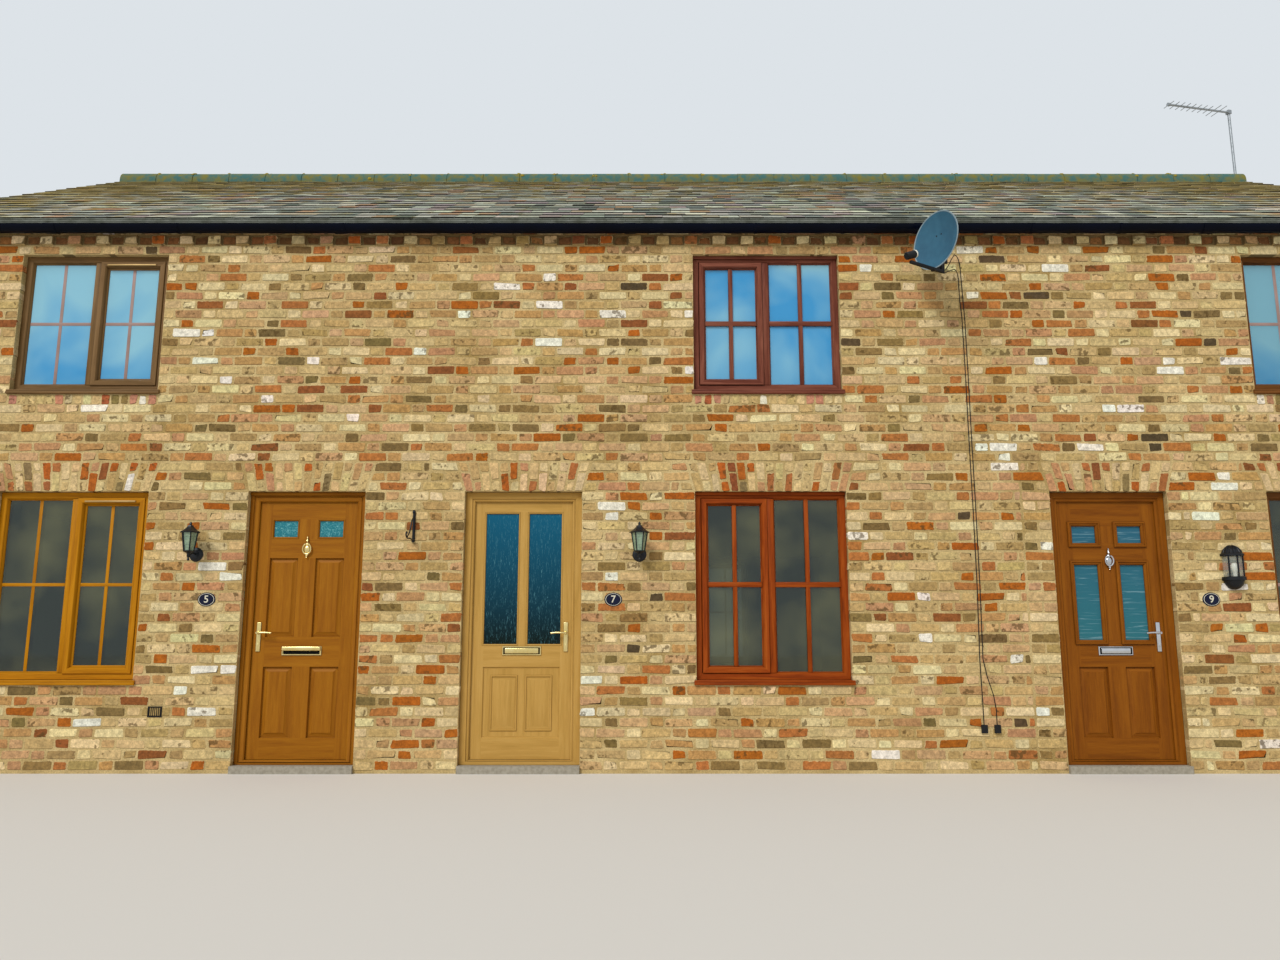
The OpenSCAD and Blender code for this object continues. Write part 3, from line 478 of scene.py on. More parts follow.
@dataclass(frozen=True)
class RolledGlass(Finish):
    """Rolled obscure glass: an opaque blue at the top that sinks to dark green, with pale ripples."""

    top: str = "#1B6587"
    foot: str = "#0E3B36"
    fleck: str = "#8FB9BC"
    z_foot: float = 0.9
    z_top: float = 1.95
    ripple: Span = (110.0, 8.0)
    sparse: float = 0.62
    roughness: float = 0.3

    def surface(self, s: Shade) -> Socket:
        """Builds the surface in a tree."""
        place = s.add("TexCoord", out="Object")
        up = s.add("MapRange", s.add("SeparateXYZ", place, out=2), self.z_foot, self.z_top)
        base = s.add("Mix", up, A_Color=self.foot, B_Color=self.top, **BLEND)
        long = s.add("Mapping", place, Scale=(self.ripple[0], 1.0, self.ripple[1]))
        wave = s.add("TexNoise", long, Scale=1.0, Detail=2.0, Distortion=1.2)
        lit = s.add("MapRange", wave, self.sparse, self.sparse + 0.1, 0.0, 0.55)
        colour = s.add("Mix", lit, A_Color=base, B_Color=self.fleck, **BLEND)
        return s.skin(colour, wave, 0.5, 0.002, Roughness=self.roughness, Specular_IOR_Level=0.14)


@dataclass(frozen=True)
class BlownGlass(Finish):
    """Blown clear glass with a thin bloom of dirt."""

    colour: str = "#BFD0CF"
    bloom: float = 0.14

    def surface(self, s: Shade) -> Socket:
        """Builds the surface in a tree."""
        dirt = s.add("BsdfPrincipled", self.colour, Roughness=0.9)
        return s.add("MixShader", self.bloom, s.add("BsdfTransparent"), dirt)


BRICK = ReclaimedBrick("reclaimed_brick_hand_moulded")
MORTAR = LimeMortar("lime_mortar_and_plaster")
SLATE = SplitSlate("split_slate_weathered")
# Fired clay gone blue-green, partly with algae and partly as a painted reflection of the sky on its top, in
# patches of ochre lichen: dull, a little rough
CLAY_RIDGE = Plain("ridge_clay_weathered", "#436B68", "#7A7436", 0.9, level=0.15, grain_mm=80, relief_mm=1.5)
# Cushion moss, soft and yellow-green, no shine at all
MOSS = Plain("cushion_moss", "#8B8432", "#B79B3C", 0.95, level=0.1, grain_mm=12, relief_mm=4)
# Extruded black plastic that has lost its gloss, with a faint blue as a painted reflection of the sky: it
# reads as a blue-black line
GUTTER = Plain("extruded_black_plastic", "#01040F", "#020719", 0.3, level=0.08, grain_mm=300)
# Precast concrete: pale, open-grained and dirty in the hollows
CONCRETE = Plain("cast_concrete", "#A39C8C", "#8B8474", 0.85, grain_mm=25, relief_mm=0.8)
# Cut ends of the eaves slates: pale blue-grey, matt
SLATE_ENDS = Plain("slate_cut_ends", "#A6ACA2", "#7A7F72", 0.85, level=0.15, grain_mm=90)
# Sawn softwood battens and boards under the slates: dull brown-grey
BATTEN = Plain("sawn_softwood_deck", "#5A4E3E", "#463D31", 0.8, level=0.2, grain_mm=60)
# Planed pine boards under a worn sealer: warm, half dull
FLOORBOARD = Plain("pine_boards_sealed", "#A98656", "#8E6E45", 0.6, grain_mm=90)
# Printed oak foils: even golden, straw and tobacco browns under a satin skin
GOLDEN_OAK = Wood("golden_oak_foil", "#854E08", "#965D0D", "#A36A14")
PALE_OAK = Wood("pale_oak_foil", "#AD8640", "#BA9149", "#C59D56", crease_shade=0.5)
BROWN_OAK = Wood("brown_oak_foil", "#703C07", "#834A0A", "#915610")
# Window foils, darker and duller than the doors
OAK_FRAME = Wood("oak_foil_faded", "#5E4626", "#765935", "#876A45", crease_shade=0.5)
WARM_FRAME = Wood("oak_foil_window_frame", "#9C6202", "#B47604", "#C28410", crease_shade=0.5)
BROWN_FRAME = Wood("brown_foil_window_frame", "#44260C", "#653D15", "#7C4E22", crease_shade=0.4)
# Stained softwood: redder and older upstairs, orange-brown below, with the grain showing
MAHOGANY = Wood("mahogany_stained_timber", "#552519", "#75402F", "#905844", 0.55, relief=0.3, crease_shade=0.35)
CEDAR = Wood("cedar_stained_timber", "#6C2A04", "#923E07", "#A85416", 0.55, relief=0.3, crease_shade=0.45)
# Enamelled aluminium tape inside the sealed units: a flat dusty pink
BAR_TAPE = Plain("internal_bar_enamelled_aluminium", "#A0857E", "#93786F", 0.5, level=0.2, grain_mm=200)
PANE = WindowPane("float_glass_sealed_unit")
DOOR_GLASS = (
    RolledGlass("rolled_glass_leaf_pattern", "#2B7F8E", "#236B74", "#8CCFD0", 1.6, 2.0, (90.0, 90.0), 0.54),
    RolledGlass("rolled_glass_rain_pattern", "#0A5A78", "#01120B", "#5F9AA6", 0.95, 1.95, (230.0, 22.0), 0.6),
    RolledGlass("rolled_glass_wave_pattern", "#2B5F78", "#2F6F78", "#86AAB4", 0.9, 2.0, (3.0, 90.0), 0.58),
)
# Solid brass under lacquer: pale yellow, soft-edged shine
BRASS = Plain("polished_brass_lacquered", "#EAD798", "#DCC47E", 0.28, metallic=0.8, grain_mm=80)
# Chrome on zinc: cool grey mirror, a little scuffed
CHROME = Plain("chrome_plated_zinc", "#D5D6D8", "#C6C8CB", 0.16, metallic=1.0, grain_mm=80)
# Painted shade: dull black for the shade in the letterbox's mouth and round its flap
SLOT_SHADE = Plain("brush_strip_black", "#0B0B0A", "#121110", 0.85, level=0.1, grain_mm=12)
# Cast iron under thick black gloss that has dulled
IRON = Plain("black_painted_cast_iron", "#070A0F", "#0C1118", 0.4, level=0.35, grain_mm=15, relief_mm=0.3)
# Pressed lamp glass: pale greenish with a wet shine
LAMP_GLASS = Plain("pressed_lamp_glass", "#93A98C", "#6F8872", 0.12, level=0.8, grain_mm=30)
# Opal glass bulb: smooth milk white
BULB = Plain("opal_bulb", "#F2EEDC", "#E8E2CC", 0.3, grain_mm=60)
# Vitreous enamel on iron: deep navy ground and cream line
ENAMEL = Plain("blue_vitreous_enamel", "#060B26", "#080F2E", 0.3, level=0.25, grain_mm=90)
ENAMEL_PALE = Plain("cream_vitreous_enamel", "#DDD9C4", "#CFC9B0", 0.3, coat=0.3, grain_mm=90)
# Powder-coated sheet: blue-grey face and a paler rolled rim, both satin
DISH_GREY = Plain("powder_coated_steel_sheet", "#2E5A72", "#36667E", 0.5, level=0.3, grain_mm=120)
DISH_RIM = Plain("powder_coated_rim", "#8A9CA3", "#7C8F97", 0.5, level=0.3, grain_mm=90)
# Drawn aluminium gone dull outdoors
ALUMINIUM = Plain("drawn_aluminium_dulled", "#A6ABAE", "#8E9396", 0.42, metallic=0.7, grain_mm=40)
# Cable sheath and moulded black plastic parts: dead black, slightly greasy
CABLE = Plain("black_cable_sheath", "#0B0B0C", "#131314", 0.6, level=0.3, grain_mm=60)
# Rough cast iron of the air brick, unpainted black
AIR_IRON = Plain("cast_iron_grating", "#0D0E0F", "#171716", 0.7, level=0.2, grain_mm=20, relief_mm=0.4)
# Lacquered steel slats of the blind: bright white, satin
BLIND = Plain("lacquered_blind_slats", "#EDF0EE", "#E4E8E6", 0.4, grain_mm=200)
# Blown clear glass of the half lantern, nearly unseen
CLEAR_LAMP = BlownGlass("blown_clear_glass")
# Anodised strip that covers the air vent: pale gold, satin
VENT = Plain("anodised_vent_strip", "#B5945A", "#A5854E", 0.45, metallic=0.4, grain_mm=120)


# Making meshes


def moved(made: list) -> list[bmesh.types.BMVert]:
    """The verts among what an operator made."""
    return [g for g in made if isinstance(g, bmesh.types.BMVert)]


class Maker:
    """A mesh under construction: parts are made one by one with operators and taken in."""

    def __init__(self, name: str, seed: int = 0) -> None:
        """Starts an empty piece.

        Args:
            name: Name of the piece.
            seed: Seed of the offsets that keep the grain of two parts apart.
        """
        self.name = name
        self.bm = bmesh.new()
        self.bm.loops.layers.uv.new("UVMap")
        self.rng = np.random.default_rng(SEED + seed)

    def absorb(self, part: bmesh.types.BMesh) -> None:
        """Copies a finished part in and frees it."""
        scratch = bpy.data.meshes.new("scratch")
        part.to_mesh(scratch)
        part.free()
        self.bm.from_mesh(scratch)
        bpy.data.meshes.remove(scratch)

    def take(self, part: bmesh.types.BMesh, grain: Grain = Grain.UP, recalc: bool = True) -> None:
        """Takes a finished part in, with a UV map laid along its grain.

        Args:
            part: The part, which is freed.
            grain: Direction of its grain.
            recalc: Whether its normals are made to point outwards.
        """
        if recalc:
            bmesh.ops.recalc_face_normals(part, faces=part.faces[:])
        uv = part.loops.layers.uv.get("UVMap") or part.loops.layers.uv.new("UVMap")
        shift = Vector(self.rng.uniform(0, 7, 2))
        along, across = grain.value, 2 - grain.value
        for face in part.faces:
            for loop in face.loops:
                co = loop.vert.co
                loop[uv].uv = (co[along] + shift[0], co[across] + co[1] + shift[1])
        self.absorb(part)

    def block(self, x: Span, y: Span, z: Span, bevel: float = 0.002, grain: Grain = Grain.UP,
              segments: int = 2, place: Matrix = Matrix()) -> None:
        """Adds a block with rounded edges.

        Args:
            x: Its two ends along X, in any order.
            y: Its two ends along Y.
            z: Its two ends along Z.
            bevel: Width of the rounding.
            grain: Direction of its grain.
            segments: Steps of the rounding.
            place: A last transform.
        """
        part = bmesh.new()
        lo, hi = (Vector((end(x), end(y), end(z))) for end in (min, max))
        size = Matrix.Diagonal((*(hi - lo), 1.0))
        bmesh.ops.create_cube(part, size=1.0, matrix=Matrix.Translation((lo + hi) / 2) @ size)
        if bevel:
            bmesh.ops.bevel(part, geom=part.edges[:], offset=bevel, segments=segments, profile=0.5,
                            affect="EDGES", material=-1, clamp_overlap=True)
        bmesh.ops.transform(part, matrix=place, verts=part.verts[:])
        self.take(part, grain)

    def ring(self, x: Span, z: Span, profile: list[Span], foot: float = 1.0, cap: bool = False,
             closed: bool = False, outward: float = -1.0) -> None:
        """Sweeps a profile round a rectangle with mitred corners, its grain along each run.

        Args:
            x: Left and right edge of the rectangle.
            z: Foot and head of the rectangle.
            profile: Points of the profile, each an inset from the rectangle and a Y.
            foot: Share of the inset that is kept at the foot.
            cap: Whether the last loop is filled.
            closed: Whether the profile closes on its first point.
            outward: Sign of the Y that the open piece faces.
        """
        part = bmesh.new()
        mid = Vector(((x[0] + x[1]) / 2, 0, (z[0] + z[1]) / 2))

        def corner(right: bool, top: bool, point: Span) -> Vector:
            """Place of one corner at one point of the profile."""
            inset, y = point
            at_x = x[1] - inset if right else x[0] + inset
            return Vector((at_x, y, z[1] - inset if top else z[0] + inset * foot))

        order = ((False, False), (True, False), (True, True), (False, True))
        verts = [part.verts.new(corner(r, t, profile[0])) for r, t in order]
        first = [part.edges.new((verts[k], verts[(k + 1) % 4])) for k in range(4)]
        last = first
        for point in profile[1:]:
            made = bmesh.ops.extrude_edge_only(part, edges=last)["geom"]
            last = [g for g in made if isinstance(g, bmesh.types.BMEdge)
                    and all(v in made for v in g.verts) and len(g.link_faces) == 1]
            for v in {v for e in last for v in e.verts}:
                v.co = corner(v.co.x > mid.x, v.co.z > mid.z, point)
        if closed:
            bmesh.ops.bridge_loops(part, edges=first + last)
        if cap:
            bmesh.ops.contextual_create(part, geom=last)
        bmesh.ops.recalc_face_normals(part, faces=part.faces[:])
        if not closed and sum(f.normal.y * f.calc_area() for f in part.faces) * outward < 0:
            bmesh.ops.reverse_faces(part, faces=part.faces[:])
        uv = part.loops.layers.uv.new("UVMap")
        shift = Vector(self.rng.uniform(0, 7, 2))
        for face in part.faces:
            centre = face.calc_center_median()
            upright = abs(centre.x - mid.x) * (z[1] - z[0]) >= abs(centre.z - mid.z) * (x[1] - x[0])
            a, b = (2, 0) if upright else (0, 2)
            for loop in face.loops:
                co = loop.vert.co
                loop[uv].uv = (co[a] + shift[0], co[b] + co[1] + shift[1])
        self.absorb(part)

    def turned(self, profile: list[Span], at: Spot = (0, 0, 0), axis: Spot = (0, 0, 1), steps: int = 24,
               stretch: Spot = (1, 1, 1), place: Matrix = Matrix(), closed: bool = False,
               half: bool = False) -> None:
        """Adds a turned solid. Unless it is closed, its profile starts and ends on the axis.

        Args:
            profile: Points, each a radius and a height along the axis.
            at: Where the axis starts.
            axis: Direction of the axis.
            steps: Facets round the axis.
            stretch: Scale before the axis is turned.
            place: A last transform.
            closed: Whether the profile closes on its first point, as a ring's does.
            half: Whether only the half in front of the axis is made, with a flat back.
        """
        part = bmesh.new()
        verts = [part.verts.new((-r, 0, h)) for r, h in profile]
        edges = [part.edges.new(pair) for pair in zip(verts, verts[1:])]
        if closed:
            edges.append(part.edges.new((verts[-1], verts[0])))
        bmesh.ops.spin(part, geom=verts + edges, cent=(0, 0, 0), axis=(0, 0, 1), steps=steps,
                       angle=math.pi if half else 2 * math.pi, use_merge=not half)
        bmesh.ops.remove_doubles(part, verts=part.verts[:], dist=1e-5)
        if half:
            bmesh.ops.contextual_create(part, geom=[e for e in part.edges if len(e.link_faces) == 1])
        turn = Vector((0, 0, 1)).rotation_difference(Vector(axis).normalized()).to_matrix().to_4x4()
        whole = place @ Matrix.Translation(at) @ turn @ Matrix.Diagonal((*stretch, 1))
        bmesh.ops.transform(part, matrix=whole, verts=part.verts[:])
        self.take(part)

    def tube(self, points: list[Spot], radius: float, sides: int = 8, smooth: int = 6) -> None:
        """Adds a smooth round bar through points.

        Args:
            points: The points it passes.
            radius: Its radius.
            sides: Facets round it.
            smooth: Steps between two points.
        """
        curve = bpy.data.curves.new("bar", "CURVE")
        curve.dimensions = "3D"
        curve.bevel_depth, curve.bevel_resolution = radius, max(0, sides // 4 - 1)
        curve.use_fill_caps, curve.resolution_u = True, smooth
        line = curve.splines.new("BEZIER")
        line.bezier_points.add(len(points) - 1)
        for knot, point in zip(line.bezier_points, points):
            knot.co = point
            knot.handle_left_type = knot.handle_right_type = "AUTO"
        self.shaped(bpy.data.objects.new("bar", curve), Matrix())

    def numeral(self, body: str, size: float, at: Spot, deep: float) -> None:
        """Adds a plain numeral that faces the street.

        Args:
            body: The numeral.
            size: Its height setting.
            at: Middle of the numeral.
            deep: Its thickness.
        """
        text = bpy.data.curves.new("numeral", "FONT")
        text.body, text.size, text.extrude, text.offset = body, size, deep / 2, size * 0.01
        text.align_x, text.align_y = "CENTER", "CENTER"
        text.resolution_u = 4
        place = Matrix.Translation(at) @ Matrix.Rotation(math.pi / 2, 4, "X")
        self.shaped(bpy.data.objects.new("numeral", text), place)

    def shaped(self, source: bpy.types.Object, place: Matrix) -> None:
        """Takes a curve in as a mesh.

        Args:
            source: The curve's object, which is removed.
            place: Where it goes.
        """
        bpy.context.scene.collection.objects.link(source)
        bpy.context.view_layer.update()
        shaped = bpy.data.meshes.new_from_object(source.evaluated_get(bpy.context.evaluated_depsgraph_get()))
        part = bmesh.new()
        part.from_mesh(shaped)
        bmesh.ops.remove_doubles(part, verts=part.verts[:], dist=1e-6)
        bmesh.ops.transform(part, matrix=place, verts=part.verts[:])
        self.take(part)
        bpy.data.meshes.remove(shaped)
        bpy.data.objects.remove(source)

    def publish(self, finish: Finish, body: Body = Body.HOUSE, slot: str | None = None,
                replaces: tuple[str, ...] = (), angle: float | None = 32.0,
                mesh: bpy.types.Mesh | None = None) -> None:
        """Ends the piece, puts it in the scene and reports it.

        Args:
            finish: Its finish.
            body: The body that it moves with.
            slot: Not used.
            replaces: Nodes that it stands for.
            angle: Edges sharper than this stay sharp, in degrees. None leaves the faces flat.
            mesh: A finished mesh that takes the place of the one under construction.
        """
        if mesh is None:
            mesh = bpy.data.meshes.new(self.name)
            self.bm.to_mesh(mesh)
        self.bm.free()
        mesh.materials.append(finish.material())
        if angle is not None:
            mesh.polygons.foreach_set("use_smooth", [True] * len(mesh.polygons))
            mesh.set_sharp_from_angle(angle=math.radians(angle))
        piece = bpy.data.objects.new(self.name, mesh)
        bpy.context.scene.collection.objects.link(piece)
        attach(piece, body.value)
        if replaces:
            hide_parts(*replaces)
        mesh.calc_loop_triangles()
        LOG.info("%s: %d triangles, %s", self.name, len(mesh.loop_triangles), finish.name)


def dress(finish: Finish, *nodes: str) -> None:
    """Gives nodes of the construction model a finish.

    Args:
        finish: The finish.
        *nodes: Names of the nodes.
    """
    for name in nodes:
        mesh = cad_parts[name].data
        mesh.materials.clear()
        mesh.materials.append(finish.material())


# Bricks and slates


@dataclass(frozen=True)
class Tone:
    """One colour of a mix and its share of it."""

    share: float
    code: str
    spread: float = 0.08


STOCK_MIX = (
    Tone(13, "#CDB17C"), Tone(12, "#D6BF8E"), Tone(12, "#C1A26C"), Tone(10, "#B98F58"),
    Tone(8, "#AE905C"), Tone(8, "#DFCB98"), Tone(7, "#C49E70"), Tone(7, "#BA8C60"),
    Tone(6, "#B0703A"), Tone(6, "#A85E1C"), Tone(3, "#EDE7D4", 0.04), Tone(3, "#8C7142"),
    Tone(4, "#7C663C"), Tone(3, "#8F562C"), Tone(0.4, "#57462F"),
)
ARCH_MIX = (
    Tone(18, "#CDB17C"), Tone(14, "#D3B987"), Tone(12, "#BF9E68"), Tone(14, "#BC8C62"),
    Tone(11, "#AC5C22"), Tone(10, "#A8683A"), Tone(3, "#E9E1CC", 0.04), Tone(6, "#86714A"),
    Tone(5, "#8A4F2C"),
)
SILL_MIX = (
    Tone(22, "#CDB179"), Tone(16, "#C08468"), Tone(14, "#B0603A"), Tone(12, "#8E7A48"),
    Tone(10, "#E6DDC6", 0.04), Tone(16, "#D6BE8A"),
)
DENTIL_MIX = (*ARCH_MIX, Tone(14, "#B56E40"), Tone(10, "#A78A54"), Tone(10, "#E0CA96"))
# Painted shade: dark tones for the bricks recessed between the dentils, where shade falls
EAVES_SHADE_MIX = (Tone(4, "#7A5230"), Tone(3, "#8A5A34"), Tone(3, "#6E4A2C"), Tone(2, "#9A6A3C"))
SLATE_MIX = (
    Tone(22, "#8F9184"), Tone(16, "#7C8174"), Tone(14, "#A3A594"), Tone(12, "#696E66"),
    Tone(9, "#968C74"), Tone(8, "#877C78"), Tone(7, "#B0AF9C"), Tone(6, "#94785E"), Tone(6, "#54594F"),
)


def pick(mix: tuple[Tone, ...], count: int, rng: np.random.Generator) -> np.ndarray:
    """Picks a colour for each of many bricks or slates.

    Args:
        mix: The colours and their shares.
        count: How many to pick.
        rng: Source of random numbers.

    Returns:
        Linear colours, one row each.
    """
    shares = np.array([t.share for t in mix], float)
    chosen = rng.choice(len(mix), count, p=shares / shares.sum())
    colours = np.array([linear(t.code) for t in mix])[chosen]
    spread = np.array([t.spread for t in mix])[chosen]
    colours[:, :3] *= 1 + rng.uniform(-1, 1, (count, 1)) * spread[:, None]
    colours[:, :3] *= 1 + rng.normal(0, 0.03, (count, 3))
    return np.clip(colours, 0, 1)


@dataclass(frozen=True)
class Template:
    """A small block that is laid many times, shaped once with operators."""

    width: float
    height: float
    corner: float = 0.0075
    rim: float = 0.003
    inner: float = 0.013
    bow: float = 0.002
    tail_cuts: int = 0

    def build(self) -> tuple[np.ndarray, list[tuple[int, ...]], np.ndarray]:
        """Shapes the block.

        Returns:
            Verts as width, height and depth, with -1 for the back, then faces, then each vert's edge value.
        """
        part = bmesh.new()
        size = Matrix.Diagonal((self.width, self.height, 1.0, 1.0))
        middle = Matrix.Translation((self.width / 2, self.height / 2, -0.5))
        bmesh.ops.create_cube(part, size=1.0, matrix=middle @ size)
        if self.corner:
            upright = [e for e in part.edges if abs(e.verts[0].co.z - e.verts[1].co.z) > 0.5]
            bmesh.ops.bevel(part, geom=upright, offset=self.corner, segments=1, profile=0.5,
                            affect="EDGES", material=-1)
        if self.tail_cuts:
            tails = [e for e in part.edges if all(v.co.y < 1e-6 for v in e.verts)
                     and abs(e.verts[0].co.x - e.verts[1].co.x) > 0.01]
            bmesh.ops.subdivide_edges(part, edges=tails, cuts=self.tail_cuts, use_grid_fill=True)
        back = [f for f in part.faces if f.normal.z < -0.9]
        bmesh.ops.delete(part, geom=back, context="FACES_ONLY")
        top = [f for f in part.faces if f.calc_center_median().z > -1e-6]
        if self.rim:
            for v in {v for f in top for v in f.verts}:
                v.co.z -= self.bow
            bmesh.ops.inset_region(part, faces=top, thickness=self.rim, depth=self.bow, use_even_offset=True)
        if self.inner:
            bmesh.ops.inset_region(part, faces=top, thickness=self.rim / 3, depth=0.0, use_even_offset=True)
            for v in {v for f in top for v in f.verts}:
                v.co.x = self.inner if v.co.x < self.width / 2 else self.width - self.inner
                v.co.y = self.inner if v.co.y < self.height / 2 else self.height - self.inner
            bmesh.ops.remove_doubles(part, verts=part.verts[:], dist=1e-6)
        part.verts.index_update()
        verts = np.array([v.co for v in part.verts], float)
        faces = [tuple(v.index for v in f.verts) for f in part.faces]
        part.free()
        shallow = np.minimum(verts[:, :2], (self.width, self.height) - verts[:, :2]).min(axis=1)
        reach = self.inner or self.rim * 1.6
        edge = np.clip(shallow / reach, 0, 1) if self.rim else np.ones(len(verts))
        verts[verts[:, 2] < -0.9, 2] = -1
        return verts, faces, edge


FINE_BRICK = Template(0.10, 0.066)
PLAIN_BRICK = Template(0.10, 0.066, corner=0.006, inner=0.0)
SLATE_BLOCK = Template(0.10, 0.10, corner=0.0, rim=0.0, inner=0.0, tail_cuts=2)


@dataclass
class Laid:
    """Bricks or slates of one plane, gathered as four corners each and then stamped into one mesh."""

    origin: Vector
    along: Vector
    up: Vector
    mix: tuple[Tone, ...]
    seed: int
    jitter: float = 0.0017
    wear: float = 0.0026
    chipped: float = 0.16
    quads: list = field(default_factory=list)
    depths: list = field(default_factory=list)

    def lay(self, quad: list, proud: float = 0.0022, back: float = 0.004, head: float | None = None) -> None:
        """Adds one brick.

        Args:
            quad: Its four corners on the plane, from the lower left one on, anticlockwise.
            proud: How far its face stands out.
            back: How far it runs into the wall.
            head: How far its upper edge stands out, where that differs.
        """
        self.quads.append(quad)
        self.depths.append((proud, back, proud if head is None else head))

    def loose(self, base: np.ndarray, template: Template, rng: np.random.Generator) -> np.ndarray:
        """Offsets of the verts along and up, the same for the rings that lie over each other.

        Args:
            base: Verts of the template.
            template: The block.
            rng: Source of random numbers.

        Returns:
            Offsets, by direction, brick and vert.
        """
        count = len(self.quads)
        right, high = base[:, 0] > template.width / 2, base[:, 1] > template.height / 2
        if template.tail_cuts:
            spot = np.round(base[:, :2] * 1e4).astype(int)
            key = spot[:, 0] * 10000 + spot[:, 1]
            outer = np.ones(len(base), bool)
        else:
            from_x = np.minimum(base[:, 0], template.width - base[:, 0])
            from_y = np.minimum(base[:, 1], template.height - base[:, 1])
            key = right * 4 + high * 2 + (from_x > from_y)
            outer = np.minimum(from_x, from_y) < 2 * template.rim
        names, key = np.unique(key, return_inverse=True)
        limit = 2.2 * self.jitter
        offset = rng.normal(0, self.jitter, (2, count, len(names))).clip(-limit, limit)[:, :, key]
        if not template.tail_cuts:
            chip = (rng.uniform(size=(count, 4)) < self.chipped) * rng.uniform(0.003, 0.009, (count, 4))
            worn = np.abs(rng.normal(0, self.wear, (count, 4))) + chip
            inward = worn[:, right * 2 + high * 1]
            offset[0] += inward * np.where(right, -1, 1)
            offset[1] += inward * np.where(high, -1, 1)
        return offset * outer

    def build(self, template: Template) -> dict:
        """Stamps the template for each brick.

        Args:
            template: The block to stamp.

        Returns:
            Arrays: verts, faces, tint, edge and mark.
        """
        rng = np.random.default_rng(SEED + self.seed)
        base, faces, edge = template.build()
        quads, depths = np.array(self.quads, float), np.array(self.depths, float)
        count, size = len(quads), len(base)

        def side(p: int, q: int) -> np.ndarray:
            """Length of one side of every brick."""
            return np.linalg.norm(quads[:, p] - quads[:, q], axis=1)

        wide, tall = (side(1, 0) + side(2, 3)) / 2, (side(3, 0) + side(2, 1)) / 2
        a = np.where(base[None, :, 0] < template.width / 2, base[None, :, 0],
                     wide[:, None] - (template.width - base[None, :, 0]))
        if template.tail_cuts:
            a = base[None, :, 0] / template.width * wide[:, None]
        b = np.where(base[None, :, 1] < template.height / 2, base[None, :, 1],
                     tall[:, None] - (template.height - base[None, :, 1]))
        offset = self.loose(base, template, rng)
        s, r = (a + offset[0]) / wide[:, None], (b + offset[1]) / tall[:, None]
        low = quads[:, None, 0] * (1 - s[..., None]) + quads[:, None, 1] * s[..., None]
        high = quads[:, None, 3] * (1 - s[..., None]) + quads[:, None, 2] * s[..., None]
        flat = low * (1 - r[..., None]) + high * r[..., None]
        uneven = rng.uniform(-0.0009, 0.0012, (count, 1))
        proud = depths[:, None, 0] * (1 - r) + depths[:, None, 2] * r + uneven
        depth = np.where(base[None, :, 2] < -0.5, -depths[:, None, 1], proud + base[None, :, 2])
        out = self.along.cross(self.up)
        verts = (np.array(self.origin)[None, None] + flat[..., :1] * np.array(self.along)
                 + flat[..., 1:] * np.array(self.up) + depth[..., None] * np.array(out))
        return {
            "verts": verts.reshape(-1, 3),
            "faces": [tuple(i + o for i in f) for o in range(0, count * size, size) for f in faces],
            "tint": np.repeat(pick(self.mix, count, rng), size, axis=0),
            "mark": np.repeat(rng.uniform(0, 1, (count, 3)), size, axis=0),
            "edge": np.tile(edge, count),
        }


def stamped(name: str, parts: list[dict], finish: Finish, slot: str) -> None:
    """Joins stamped planes into one piece.

    Args:
        name: Name of the piece.
        parts: What Laid.build gave for each plane.
        finish: The finish.
        slot: Name of a material slot, passed on to Maker.publish.
    """
    starts = np.cumsum([0] + [len(p["verts"]) for p in parts]).tolist()
    verts = np.concatenate([p["verts"] for p in parts])
    faces = [tuple(i + start for i in f) for p, start in zip(parts, starts) for f in p["faces"]]
    mesh = bpy.data.meshes.new(name)
    mesh.from_pydata(verts.tolist(), [], faces)
    kinds = (("tint", "FLOAT_COLOR", "color"), ("mark", "FLOAT_VECTOR", "vector"), ("edge", "FLOAT", "value"))
    for key, kind, value in kinds:
        values = np.concatenate([p[key] for p in parts]).astype(np.float32)
        mesh.attributes.new(key, kind, "POINT").data.foreach_set(value, values.ravel())
    mesh.validate()
    Maker(name).publish(finish, slot=slot, angle=None, mesh=mesh)


